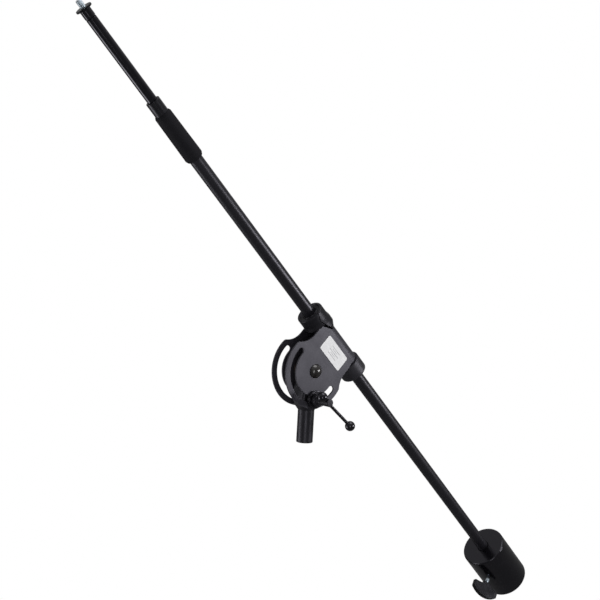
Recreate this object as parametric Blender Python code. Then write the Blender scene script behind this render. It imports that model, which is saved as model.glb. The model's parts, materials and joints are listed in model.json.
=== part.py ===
"""Swivel arm: a telescoping, counterweighted boom on a slotted swivel clamp.

The clamp is one folded sheet of steel that wraps a split plastic liner round the boom. Its two cheeks
hang on a pivot bolt in the lug of a 28.6 mm spigot, and one locking screw with a sliding bar runs through
an arc slot in each cheek. The boom slides and turns in the liner, the inner tube slides in the outer tube
behind a twist clutch, and a round steel weight is clamped on the tail with a winged screw.

Frame: origin at the middle of the spigot's bottom face, +Z up, the cheeks parallel to the XZ plane,
the locking bar on the -Y side, and the boom's tip towards -X. Lengths below are in millimetres.
"""

import math

import bmesh
import bpy
from mathutils import Matrix, Vector
from mathutils.geometry import tessellate_polygon

MM = 0.001
GAP = 0.3

# Facets round a turned piece, from the weight down to the small screws
ROUND_LARGE = 56
ROUND = 36
ROUND_MIDDLE = 32
ROUND_SMALL = 24

# Places
PIVOT_HEIGHT = 125.6
BOOM_TILT = math.radians(44.1)
BOOM_OFFSET = 68.0

# Spigot and lug, one casting
SPIGOT_RADIUS = 14.3
SPIGOT_HEIGHT = 56.5
SPIGOT_CHAMFER = 1.5
LUG_BASE = 75.5
LUG_HALF_WIDTH = 21.5
LUG_TOP_RADIUS = 19.0
LUG_HALF_DEPTH = 16.7
LUG_CORNER = 5.0
FRICTION_RADIUS = 17.0
FRICTION_THICKNESS = 1.5

# Folded saddle
SHEET = 3.0
CHEEK_FACE = 20.0
DISC_RADIUS = 64.5
EAR_TIP = 47.5
EAR_TAIL = 52.0
NECK_TIP = 25.0
NECK_START = 22.0
NECK_END = 42.0
WAIST_LEVEL = 41.0
WAIST_RADIUS = 38.0
CORNER_RADIUS = 8.0
FOLD_STEPS = 12

# Arc slot and the screw that runs in it
SLOT_RADIUS = 48.7
SLOT_HALF_WIDTH = 5.7
SLOT_HALF_SWEEP = math.radians(85.5)
LOCK_SCREW_RADIUS = 5.0
LOCK_SCREW_END = 45.5
LOCK_WASHER_RADIUS = 15.7
LOCK_WASHER_THICKNESS = 5.0
HUB_COLLAR_RADIUS = 10.5
HUB_COLLAR_HEIGHT = 33.5
HUB_RADIUS = 6.8
HUB_END = 63.0
BAR_HEIGHT = 56.0
BAR_RADIUS = 2.5
BAR_ANGLE = math.radians(-39.0)
BAR_LENGTH = 91.0
BALL_RADIUS = 8.8
BALL_NEAR = -15.9
BALL_FAR = 68.5

# Pivot bolt
PIVOT_RADIUS = 6.0
PIVOT_HEAD_RADIUS = 11.8
PIVOT_HEAD_HEIGHT = 5.5
PIVOT_BUSH_RADIUS = 8.0

# Liner, collars and guide bush
LINER_RADIUS = 16.7
LINER_BORE = 13.6
COLLAR_RADIUS = 24.0
COLLAR_RIM = 25.7
HEAD_COLLAR_END = -73.0
TAIL_COLLAR_END = 81.5
TONGUE_LEVEL = 8.0
BUSH_RADIUS = 13.3
BUSH_BORE = 11.4
BUSH_HEAD = -60.0
BUSH_TAIL = 68.0
BUSH_SLIT = 2.0

# Boom, measured along its axis from the point nearest the pivot, positive towards the weight
TUBE_RADIUS = 11.1
TUBE_BORE = 9.9
TUBE_HEAD = -497.0
TUBE_TAIL = 732.0
INNER_RADIUS = 8.35
INNER_BORE = 7.15
INNER_HEAD = -674.7
INNER_TAIL = 150.0
NOSE_RADIUS = 11.6
NOSE_HEAD = -527.0
GRIP_HEAD = -502.8
GRIP_TAIL = -414.5
GRIP_HEAD_RADIUS = 14.15
GRIP_TAIL_RADIUS = 15.2
FERRULE_RADIUS = 8.6
FERRULE_HEAD = -689.3
FLANGE_RADIUS = 13.0
FLANGE_HEAD = -692.9
STUD_RADIUS = 4.75
STUD_HEAD = -705.0

# Counterweight
WEIGHT_RADIUS = 43.7
WEIGHT_BORE = 11.5
WEIGHT_HEAD = 610.5
WEIGHT_TAIL = 721.5
WEIGHT_CHAMFER = 2.0
WEIGHT_SCREW_PLACE = 661.5
WEIGHT_SCREW_ANGLE = math.radians(-16.5)
WEIGHT_SCREW_RADIUS = 4.0
WING_TURN = math.radians(28.0)
WING_HALF_WIDTH = 27.4
WING_START = 61.4
WING_END = 84.9
WING_SIDE = 12.5
WING_SCALLOP = 2.4
WING_BOSS_START = 53.0
WING_BOSS_RADIUS = 7.0
WING_HALF_THICKNESS = 3.6

FOLD_MID_RADIUS = CHEEK_FACE - SHEET / 2
FOLD_ARC = FOLD_MID_RADIUS * math.pi / 2
PIVOT_ON_BLANK = FOLD_ARC + BOOM_OFFSET


def clear_scene():
    for item in list(bpy.data.objects):
        bpy.data.objects.remove(item, do_unlink=True)


def material(name, colour, roughness, metallic=0.0):
    made = bpy.data.materials.new(name)
    made.use_nodes = True
    made.diffuse_color = (*colour, 1.0)
    shader = made.node_tree.nodes["Principled BSDF"]
    shader.inputs["Base Color"].default_value = (*colour, 1.0)
    shader.inputs["Roughness"].default_value = roughness
    shader.inputs["Metallic"].default_value = metallic
    return made


def frame_at(name, place, turn, parent=None):
    """An empty whose local Z is the axis of the pieces under it; place in millimetres."""
    empty = bpy.data.objects.new(name, None)
    bpy.context.scene.collection.objects.link(empty)
    empty.parent = parent
    empty.location = Vector(place) * MM
    empty.rotation_euler = turn
    return empty


def add_object(name, bm, finish, parent=None, smooth=True):
    """Turn a bmesh in millimetres into a named object in metres."""
    bmesh.ops.remove_doubles(bm, verts=bm.verts, dist=1e-4)
    bmesh.ops.recalc_face_normals(bm, faces=bm.faces)
    bmesh.ops.scale(bm, vec=(MM, MM, MM), verts=bm.verts)
    mesh = bpy.data.meshes.new(name)
    bm.to_mesh(mesh)
    bm.free()
    mesh.materials.append(finish)
    if smooth:
        mesh.shade_smooth()
        mesh.set_sharp_from_angle(angle=math.radians(30))
    made = bpy.data.objects.new(name, mesh)
    bpy.context.scene.collection.objects.link(made)
    made.parent = parent
    return made


def spun(profile, segments=ROUND):
    """A bmesh made by spinning (radius, height) points about Z; the profile is closed or ends on the axis."""
    bm = bmesh.new()
    verts = [bm.verts.new((radius, 0.0, height)) for radius, height in profile]
    on_axis = profile[0][0] == 0 and profile[-1][0] == 0
    pairs = list(zip(verts, verts[1:])) + ([] if on_axis else [(verts[-1], verts[0])])
    edges = [bm.edges.new(pair) for pair in pairs]
    bmesh.ops.spin(bm, geom=verts + edges, cent=(0, 0, 0), axis=(0, 0, 1),
                   angle=math.tau, steps=segments, use_duplicate=False)
    bmesh.ops.remove_doubles(bm, verts=bm.verts, dist=1e-4)
    return bm


def turned(name, profile, finish, parent, segments=ROUND):
    return add_object(name, spun(profile, segments), finish, parent)


def ring_profile(bore, radius, low, high, chamfer=0.0):
    return [
        (bore, low), (radius - chamfer, low), (radius, low + chamfer),
        (radius, high - chamfer), (radius - chamfer, high), (bore, high),
    ] if chamfer else [(bore, low), (radius, low), (radius, high), (bore, high)]


def arc(centre, radius, start, end, steps):
    """Points of a circular arc in a plane, both ends included."""
    angles = [start + (end - start) * step / steps for step in range(steps + 1)]
    return [(centre[0] + radius * math.cos(a), centre[1] + radius * math.sin(a)) for a in angles]


def prism(outline, low, high):
    """A bmesh made by extruding an outline in XY from low to high."""
    bm = bmesh.new()
    face = bm.faces.new([bm.verts.new((x, y, low)) for x, y in outline])
    moved = bmesh.ops.extrude_face_region(bm, geom=[face])
    top = [item for item in moved["geom"] if isinstance(item, bmesh.types.BMVert)]
    bmesh.ops.translate(bm, verts=top, vec=(0, 0, high - low))
    return bm


def regular(sides, radius, turn=0.0):
    return [(radius * math.cos(turn + math.tau * k / sides), radius * math.sin(turn + math.tau * k / sides))
            for k in range(sides)]


def loft(rings):
    """A bmesh through rings of points that all have the same count, closed with a flat face at each end."""
    bm = bmesh.new()
    loops = [[bm.verts.new(point) for point in ring] for ring in rings]
    count = len(rings[0])
    for lower, upper in zip(loops, loops[1:]):
        for k in range(count):
            after = (k + 1) % count
            bm.faces.new((lower[k], lower[after], upper[after], upper[k]))
    bm.faces.new(list(reversed(loops[0])))
    bm.faces.new(loops[-1])
    return bm


def combine(target, cutter_bm, turn, place, operation, finish):
    """Cut a shape from an object, or join one to it, with the shape given in the object's own frame."""
    bmesh.ops.recalc_face_normals(cutter_bm, faces=cutter_bm.faces)
    bmesh.ops.transform(cutter_bm, matrix=turn.to_4x4(), verts=cutter_bm.verts)
    bmesh.ops.translate(cutter_bm, verts=cutter_bm.verts, vec=place)
    cutter = add_object(target.name + "_tool", cutter_bm, finish, target)
    cutter.hide_render = True
    cutter.display_type = "WIRE"
    step = target.modifiers.new(operation.lower(), "BOOLEAN")
    step.operation = operation
    step.solver = "EXACT"
    step.object = cutter
    return cutter


def cut(target, cutter_bm, finish, turn=Matrix.Identity(3), place=(0, 0, 0)):
    return combine(target, cutter_bm, turn, place, "DIFFERENCE", finish)


def join(target, added_bm, finish, turn=Matrix.Identity(3), place=(0, 0, 0)):
    return combine(target, added_bm, turn, place, "UNION", finish)


# Spigot and lug

def section(half_width, half_depth, corner, level, count=ROUND):
    """A rounded rectangle at a level; with the corner as large as both halves it is a circle."""
    points = []
    quarter = count // 4
    for side, (sx, sy) in enumerate(((1, 1), (-1, 1), (-1, -1), (1, -1))):
        start = side * math.pi / 2
        centre = (sx * (half_width - corner), sy * (half_depth - corner))
        points += arc(centre, corner, start, start + math.pi / 2, quarter - 1)
    return [(x, y, level) for x, y in points]


def make_stem(finish):
    radius = SPIGOT_RADIUS
    start = radius - SPIGOT_CHAMFER
    rings = [section(start, start, start - 0.01, 0.0),
             section(radius, radius, radius - 0.01, SPIGOT_CHAMFER),
             section(radius, radius, radius - 0.01, SPIGOT_HEIGHT)]
    blend_steps = 4
    for step in range(1, blend_steps + 1):
        share = step / blend_steps
        eased = math.sin(share * math.pi / 2)
        half_width = radius + (LUG_HALF_WIDTH - radius) * eased
        half_depth = radius + (LUG_HALF_DEPTH - radius) * eased
        corner = radius - 0.01 + (LUG_CORNER - radius) * share
        rings.append(section(half_width, half_depth, corner,
                             SPIGOT_HEIGHT + (LUG_BASE - SPIGOT_HEIGHT) * share))
    top_steps = 7
    for step in range(top_steps + 1):
        angle = math.radians(86) * step / top_steps
        half_width = LUG_TOP_RADIUS * math.cos(angle)
        corner = min(LUG_CORNER * math.cos(angle), half_width - 0.2)
        level = PIVOT_HEIGHT + LUG_TOP_RADIUS * math.sin(angle)
        rings.append(section(half_width, LUG_HALF_DEPTH, corner, level))
    stem = add_object("spigot_and_lug", loft(rings), finish)
    across = Matrix.Rotation(math.radians(90), 3, "X")
    depth = LUG_HALF_DEPTH
    cut(stem, spun([(0, -depth - 5), (PIVOT_BUSH_RADIUS + GAP, -depth - 5),
                    (PIVOT_BUSH_RADIUS + GAP, depth + 5), (0, depth + 5)], ROUND_SMALL),
        finish, across, (0, 0, PIVOT_HEIGHT))
    cut(stem, spun([(0, -depth - 5), (LOCK_SCREW_RADIUS + GAP, -depth - 5),
                    (LOCK_SCREW_RADIUS + GAP, depth + 5), (0, depth + 5)], ROUND_SMALL),
        finish, across, (0, 0, PIVOT_HEIGHT - SLOT_RADIUS))
    recess = FRICTION_THICKNESS + GAP
    reach = LUG_TOP_RADIUS + 6
    for side in (-1, 1):
        floor = side * (depth - recess)
        wall = side * (depth + 5)
        cut(stem, prism([(-reach, -FRICTION_RADIUS - GAP), (reach, -FRICTION_RADIUS - GAP),
                         (reach, reach), (-reach, reach)], min(floor, wall), max(floor, wall)),
            finish, across, (0, 0, PIVOT_HEIGHT))
    return stem


# Pivot bolt and its pieces, in a frame whose Z points out of the front cheek

def make_pivot(frame, steel, black, fibre, bronze):
    dome_steps = 5
    dome_sphere = (PIVOT_HEAD_RADIUS ** 2 + PIVOT_HEAD_HEIGHT ** 2) / (2 * PIVOT_HEAD_HEIGHT)
    dome_half = math.asin(PIVOT_HEAD_RADIUS / dome_sphere)
    seat = CHEEK_FACE + GAP
    dome = [(dome_sphere * math.sin(dome_half * k / dome_steps),
             seat + PIVOT_HEAD_HEIGHT - dome_sphere * (1 - math.cos(dome_half * k / dome_steps)))
            for k in range(dome_steps, 0, -1)]
    washer_high = -(CHEEK_FACE + GAP)
    washer_low = washer_high - 1.5
    nut_high = washer_low - GAP
    nut_low = nut_high - 11.0
    shank_low = nut_low - 1.5
    turned("pivot_bolt", [(0, shank_low), (PIVOT_RADIUS - 0.8, shank_low), (PIVOT_RADIUS, shank_low + 0.8),
                          (PIVOT_RADIUS, seat)] + dome + [(0, seat + PIVOT_HEAD_HEIGHT)],
           black, frame, ROUND_MIDDLE)
    turned("pivot_washer", ring_profile(PIVOT_RADIUS + GAP, 12.0, washer_low, washer_high),
           steel, frame, ROUND_MIDDLE)
    nut = add_object("pivot_lock_nut", prism(regular(6, 10.9), nut_low + 3.5, nut_high), steel, frame)
    join(nut, spun([(0, nut_low), (7.6, nut_low), (8.8, nut_low + 1.2), (8.8, nut_low + 6),
                    (0, nut_low + 6)], ROUND_SMALL), steel)
    cut(nut, spun([(0, nut_low - 5), (PIVOT_RADIUS + GAP, nut_low - 5),
                   (PIVOT_RADIUS + GAP, nut_high + 5), (0, nut_high + 5)], ROUND_SMALL), steel)
    inner = CHEEK_FACE - SHEET
    for name, sign in (("friction_disc_front", 1), ("friction_disc_rear", -1)):
        ends = sorted((sign * (inner - GAP), sign * (inner - GAP - FRICTION_THICKNESS)))
        turned(name, ring_profile(PIVOT_RADIUS + GAP, FRICTION_RADIUS, ends[0], ends[1]),
               fibre, frame, ROUND_MIDDLE)
    bush = LUG_HALF_DEPTH - FRICTION_THICKNESS - 2 * GAP
    turned("pivot_bush", ring_profile(PIVOT_RADIUS + GAP, PIVOT_BUSH_RADIUS, -bush, bush),
           bronze, frame, ROUND_SMALL)


# Locking screw and its sliding bar, in a frame whose Z points out of the front cheek

def make_lock(frame, bar_frame, steel, black):
    bore = LOCK_SCREW_RADIUS + GAP
    head_high = -(CHEEK_FACE + GAP + 2.0 + GAP)
    screw = add_object("lock_screw", prism(regular(6, 9.6), head_high - 6.4, head_high), steel, frame)
    join(screw, spun([(0, head_high - 3), (LOCK_SCREW_RADIUS, head_high - 3),
                      (LOCK_SCREW_RADIUS, LOCK_SCREW_END - 1), (LOCK_SCREW_RADIUS - 1, LOCK_SCREW_END),
                      (0, LOCK_SCREW_END)], ROUND_SMALL), steel)
    turned("lock_washer_rear", ring_profile(bore, 12.5, -(CHEEK_FACE + GAP + 2.0), -(CHEEK_FACE + GAP)),
           steel, frame, ROUND_MIDDLE)
    low = CHEEK_FACE + GAP
    turned("lock_washer_front", ring_profile(bore, LOCK_WASHER_RADIUS, low, low + LOCK_WASHER_THICKNESS, 0.6),
           black, frame)
    low += LOCK_WASHER_THICKNESS + GAP
    neck = 1.2
    hub = turned("lever_hub", [
        (bore, low), (HUB_COLLAR_RADIUS - 0.6, low), (HUB_COLLAR_RADIUS, low + 0.6),
        (HUB_COLLAR_RADIUS, HUB_COLLAR_HEIGHT - 1.5), (HUB_COLLAR_RADIUS - 1.5, HUB_COLLAR_HEIGHT),
        (HUB_RADIUS + neck, HUB_COLLAR_HEIGHT), (HUB_RADIUS, HUB_COLLAR_HEIGHT + neck),
        (HUB_RADIUS, HUB_END - 1.6), (HUB_RADIUS - 0.6, HUB_END - 0.5), (HUB_RADIUS - 1.8, HUB_END),
        (0, HUB_END), (0, LOCK_SCREW_END + 2), (bore, LOCK_SCREW_END + 1)], black, frame, ROUND_MIDDLE)
    reach = HUB_RADIUS + 5
    along = Matrix.Rotation(BAR_ANGLE, 3, "Z") @ Matrix.Rotation(math.radians(90), 3, "Y")
    bar_bore = BAR_RADIUS + GAP
    cut(hub, spun([(0, -reach), (bar_bore, -reach), (bar_bore, reach), (0, reach)], ROUND_SMALL),
        black, along, (0, 0, BAR_HEIGHT))
    start = BALL_NEAR - 3.5
    end = start + BAR_LENGTH
    turned("lever_bar", [(0, start), (BAR_RADIUS, start), (BAR_RADIUS, end), (0, end)],
           black, bar_frame, ROUND_SMALL)
    for name, place, facing in (("lever_ball_near", BALL_NEAR, 1), ("lever_ball_far", BALL_FAR, -1)):
        mouth = math.asin(bar_bore / BALL_RADIUS)
        depth = 4.2
        steps = 11
        shape = [(BALL_RADIUS * math.sin(a), -facing * BALL_RADIUS * math.cos(a))
                 for a in [(math.pi - mouth) * k / steps for k in range(steps + 1)]]
        shape[0] = (0, shape[0][1])
        shape += [(bar_bore, -facing * depth), (0, -facing * depth)]
        ball = turned(name, shape, black, bar_frame, ROUND_SMALL)
        ball.location = (0, 0, place * MM)


# Folded saddle, drawn flat and bent round the liner

def blank_side(ear, sign):
    """The outline of one side of a cheek, from the ear's straight edge to the disc, in blank coordinates."""
    disc = Vector((0.0, PIVOT_ON_BLANK))
    waist = Vector((ear + WAIST_RADIUS, PIVOT_ON_BLANK - WAIST_LEVEL))
    near = WAIST_RADIUS + CORNER_RADIUS
    far = DISC_RADIUS - CORNER_RADIUS
    across = waist - disc
    span = across.length
    along = (far ** 2 - near ** 2 + span ** 2) / (2 * span)
    height = math.sqrt(far ** 2 - along ** 2)
    step = across.normalized()
    corner = disc + step * along + Vector((-step.y, step.x)) * height
    to_corner = corner - waist
    waist_end = math.atan2(to_corner.y, to_corner.x)
    corner_start = waist_end - math.pi
    to_disc = corner - disc
    corner_end = math.atan2(to_disc.y, to_disc.x)
    points = arc(waist, WAIST_RADIUS, math.pi, waist_end, 10)
    points += arc(corner, CORNER_RADIUS, corner_start, corner_end, 6)[1:]
    return [(sign * x, y) for x, y in points], corner_end


def neck_edge(along):
    """How far the tip edge reaches from the middle, at a distance along the blank from the fold's middle."""
    share = min(max((abs(along) - NECK_START) / (NECK_END - NECK_START), 0.0), 1.0)
    eased = share * share * (3 - 2 * share)
    return -(NECK_TIP + (EAR_TIP - NECK_TIP) * eased)


def cheek_outline():
    """One cheek on the blank, from the tail end of the fold's edge round the disc to the tip end."""
    tail, tail_angle = blank_side(EAR_TAIL, 1)
    tip, tip_angle = blank_side(EAR_TIP, -1)
    disc_steps = 36
    round_disc = arc((0, PIVOT_ON_BLANK), DISC_RADIUS, tail_angle, math.pi - tip_angle, disc_steps)
    neck_steps = 6
    neck = [NECK_END + (FOLD_ARC - NECK_END) * k / neck_steps for k in range(neck_steps + 1)]
    return ([(EAR_TAIL, FOLD_ARC)] + tail + round_disc[1:-1] + list(reversed(tip))
            + [(neck_edge(w), w) for w in neck])


def slot_outline():
    centre = (0, PIVOT_ON_BLANK)
    start = math.pi / 2 - SLOT_HALF_SWEEP
    end = math.pi / 2 + SLOT_HALF_SWEEP
    end_steps = 7
    first = (SLOT_RADIUS * math.cos(start), PIVOT_ON_BLANK + SLOT_RADIUS * math.sin(start))
    last = (SLOT_RADIUS * math.cos(end), PIVOT_ON_BLANK + SLOT_RADIUS * math.sin(end))
    slot_steps = 28
    return (arc(centre, SLOT_RADIUS + SLOT_HALF_WIDTH, start, end, slot_steps)
            + arc(last, SLOT_HALF_WIDTH, end, end + math.pi, end_steps)[1:]
            + arc(centre, SLOT_RADIUS - SLOT_HALF_WIDTH, end, start, slot_steps)[1:]
            + arc(first, SLOT_HALF_WIDTH, start - math.pi, start, end_steps)[1:-1])


def folded(point, depth):
    """Where a point of the blank lies once it is bent; depth runs from the inner face to the outer one.
    The frame's X points from the boom towards the pivot, and its Z along the boom."""
    along, width = point
    side = -1.0 if width > 0 else 1.0
    reach = abs(width)
    radius = CHEEK_FACE - SHEET + depth
    if reach > FOLD_ARC:
        return Vector((reach - FOLD_ARC - BOOM_OFFSET, side * radius, along))
    bend = reach / FOLD_MID_RADIUS
    return Vector((-BOOM_OFFSET - radius * math.cos(bend), side * radius * math.sin(bend), along))


def make_saddle(frame, finish):
    bm = bmesh.new()
    known = {}

    def vert(point, depth):
        key = (round(point[0], 4), round(point[1], 4), depth)
        if key not in known:
            known[key] = bm.verts.new(folded(point, depth))
        return known[key]

    def panel(points):
        bm.faces.new([vert(point, SHEET) for point in points])
        bm.faces.new([vert(point, 0.0) for point in reversed(points)])

    def wall(points, closed=True):
        after = points[1:] + points[:1] if closed else points[1:]
        for first, second in zip(points, after):
            bm.faces.new((vert(first, 0.0), vert(second, 0.0), vert(second, SHEET), vert(first, SHEET)))

    front = cheek_outline()
    hole = arc((0, PIVOT_ON_BLANK), PIVOT_RADIUS + GAP, 0, math.tau, ROUND_SMALL)[:-1]
    openings = [slot_outline(), hole]
    for sign in (1, -1):
        loops = [[(u, sign * w) for u, w in loop] for loop in [front] + openings]
        flat = [point for loop in loops for point in loop]
        for triangle in tessellate_polygon([[Vector((u, w, 0)) for u, w in loop] for loop in loops]):
            panel([flat[index] for index in triangle])
        wall(loops[0], closed=False)
        for loop in loops[1:]:
            wall(loop)
    stations = [FOLD_ARC * step / FOLD_STEPS for step in range(-FOLD_STEPS, FOLD_STEPS + 1)]
    for first, second in zip(stations, stations[1:]):
        panel([(EAR_TAIL, first), (EAR_TAIL, second), (neck_edge(second), second), (neck_edge(first), first)])
        wall([(EAR_TAIL, first), (EAR_TAIL, second)], closed=False)
        wall([(neck_edge(second), second), (neck_edge(first), first)], closed=False)
    return add_object("saddle", bm, finish, frame)


def make_label(frame, finish):
    """A blank plate stuck on the front cheek beside the boom."""
    low, high = -BOOM_OFFSET + 5.0, -33.0
    tip, tail = -24.0, 36.5
    face = -(CHEEK_FACE + GAP)
    outline = [(low, face - 0.5), (high, face - 0.5), (high, face), (low, face)]
    add_object("label_plate", prism(outline, tip, tail), finish, frame, smooth=False)


# Liner and what guides the boom in it, in the boom's frame

def make_liner(frame, plastic, nylon):
    ears = EAR_TIP + GAP
    tail = EAR_TAIL + GAP
    turned("liner_tube", ring_profile(LINER_BORE, LINER_RADIUS, -ears, tail - 2 * GAP), plastic, frame)
    lip = TUBE_RADIUS + 0.5
    head = HEAD_COLLAR_END
    neck = -(NECK_TIP + GAP)
    round_steps = 4
    edge = 4.0
    head_round = arc((COLLAR_RADIUS - edge, head + edge), edge, -math.pi / 2, 0, round_steps)
    tail_round = arc((COLLAR_RADIUS - edge, TAIL_COLLAR_END - edge), edge, 0, math.pi / 2, round_steps)
    step = -ears - GAP
    collar = turned("head_collar", [(lip, head)] + head_round + [
        (COLLAR_RADIUS, -54.0), (COLLAR_RIM - 0.4, -46.0), (COLLAR_RIM, -41.0), (COLLAR_RIM - 0.3, -36.0),
        (20.8, neck), (LINER_RADIUS + GAP, neck), (LINER_RADIUS + GAP, step),
        (LINER_BORE, step), (LINER_BORE, BUSH_HEAD - GAP), (lip, BUSH_HEAD - GAP)], plastic, frame)
    reach = COLLAR_RIM + 5
    cut(collar, prism([(-TONGUE_LEVEL, -reach), (reach, -reach), (reach, reach), (-TONGUE_LEVEL, reach)],
                      step, neck + 5), plastic)
    turned("tail_collar", [(LINER_BORE, tail), (COLLAR_RADIUS - 0.5, tail), (COLLAR_RADIUS, tail + 0.5)]
           + tail_round + [(lip, TAIL_COLLAR_END), (lip, BUSH_TAIL + GAP), (LINER_BORE, BUSH_TAIL + GAP)],
           plastic, frame)
    bush = turned("guide_bush", ring_profile(BUSH_BORE, BUSH_RADIUS, BUSH_HEAD, BUSH_TAIL), nylon, frame)
    half = BUSH_SLIT / 2
    cut(bush, prism([(5, -half), (20, -half), (20, half), (5, half)], BUSH_HEAD - 5, BUSH_TAIL + 5), nylon)


def make_boom(frame, tube_paint, inner_paint, rubber, plastic, nylon, zinc, black):
    turned("outer_tube", ring_profile(TUBE_BORE, TUBE_RADIUS, TUBE_HEAD, TUBE_TAIL), tube_paint, frame)
    stopper = TUBE_BORE - GAP
    turned("tube_end_cap", [
        (0, TUBE_TAIL - 14), (stopper, TUBE_TAIL - 14), (stopper, TUBE_TAIL + GAP), (12.4, TUBE_TAIL + GAP),
        (12.4, TUBE_TAIL + 2.6), (11.2, TUBE_TAIL + 4.2), (0, TUBE_TAIL + 4.2)], plastic, frame, ROUND_MIDDLE)
    turned("clutch_body", ring_profile(TUBE_RADIUS + GAP, 12.8, TUBE_HEAD + 0.5, -441.0),
           black, frame, ROUND_MIDDLE)
    slip = INNER_RADIUS + GAP
    collet = turned("clutch_collet", [
        (slip, TUBE_HEAD - 7.4), (9.6, TUBE_HEAD - 7.4), (10.6, TUBE_HEAD - 2.0), (10.6, TUBE_HEAD - GAP),
        (stopper, TUBE_HEAD - GAP), (stopper, TUBE_HEAD + 27.0), (slip, TUBE_HEAD + 27.0)],
        nylon, frame, ROUND_MIDDLE)
    slit = [(5, -0.6), (15, -0.6), (15, 0.6), (5, 0.6)]
    for quarter in range(4):
        cut(collet, prism(slit, TUBE_HEAD - 12.0, TUBE_HEAD + 17.0), nylon,
            Matrix.Rotation(quarter * math.pi / 2, 3, "Z"))
    nose_tail = GRIP_HEAD - GAP
    turned("clutch_nose", [
        (slip + 0.1, NOSE_HEAD), (NOSE_RADIUS - 0.7, NOSE_HEAD), (NOSE_RADIUS, NOSE_HEAD + 0.8),
        (NOSE_RADIUS, nose_tail), (11.9, nose_tail), (11.9, TUBE_HEAD - 0.6), (10.95, TUBE_HEAD - 0.6),
        (10.95, TUBE_HEAD - 7.0), (slip + 0.1, TUBE_HEAD - 10.0)], black, frame)
    turned("clutch_grip", [
        (12.2, GRIP_HEAD), (GRIP_HEAD_RADIUS - 1.7, GRIP_HEAD), (GRIP_HEAD_RADIUS, GRIP_HEAD + 3.0),
        (GRIP_TAIL_RADIUS, GRIP_TAIL - 4.0), (GRIP_TAIL_RADIUS - 0.5, GRIP_TAIL - 2.0),
        (13.2, GRIP_TAIL), (TUBE_RADIUS + GAP, GRIP_TAIL), (TUBE_RADIUS + GAP, GRIP_TAIL - 5.0),
        (13.1, GRIP_TAIL - 5.0), (13.1, TUBE_HEAD), (12.2, TUBE_HEAD)], rubber, frame)
    turned("inner_tube", ring_profile(INNER_BORE, INNER_RADIUS, INNER_HEAD, INNER_TAIL),
           inner_paint, frame, ROUND_MIDDLE)
    turned("inner_glide", ring_profile(slip, stopper, INNER_TAIL - 18.0, INNER_TAIL),
           nylon, frame, ROUND_MIDDLE)
    bore = STUD_RADIUS + GAP
    plug = INNER_BORE - GAP
    turned("tip_ferrule", [
        (bore, FERRULE_HEAD), (FERRULE_RADIUS, FERRULE_HEAD), (FERRULE_RADIUS, INNER_HEAD - GAP),
        (plug, INNER_HEAD - GAP), (plug, INNER_HEAD + 20), (0, INNER_HEAD + 20), (0, INNER_HEAD + 4),
        (bore, INNER_HEAD + 4)], inner_paint, frame, ROUND_MIDDLE)
    low, high = FLANGE_HEAD, FERRULE_HEAD - GAP
    turned("tip_flange", [(bore, low), (FLANGE_RADIUS - 0.8, low), (FLANGE_RADIUS, low + 0.8),
                          (FLANGE_RADIUS, high - 0.8), (FLANGE_RADIUS - 0.8, high), (bore, high)],
           black, frame, ROUND_MIDDLE)
    turned("tip_stud", [(0, STUD_HEAD), (STUD_RADIUS - 1.0, STUD_HEAD), (STUD_RADIUS, STUD_HEAD + 1.0),
                        (STUD_RADIUS, INNER_HEAD + 3), (0, INNER_HEAD + 3)], zinc, frame, ROUND_SMALL)


# Counterweight, and its screw in a frame whose Z points out along the screw

def wing_outline():
    """The half-moon wing seen flat: scalloped beside the boss, short ends and a round outer edge."""
    half = WING_HALF_WIDTH
    depth = WING_END - WING_START - WING_SIDE
    radius = (half ** 2 + depth ** 2) / (2 * depth)
    sweep = math.asin(half / radius)
    centre = (0.0, WING_END - radius)
    outer = arc(centre, radius, math.pi / 2 - sweep, math.pi / 2 + sweep, 16)
    shoulder = WING_BOSS_RADIUS - 0.5
    steps = 6
    top = []
    for side in (-1, 1):
        for k in range(steps + 1):
            share = k / steps
            x = -half + (half - shoulder) * share if side < 0 else shoulder + (half - shoulder) * share
            top.append((x, WING_START + WING_SCALLOP * math.sin(math.pi * share)))
    return top + outer


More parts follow.
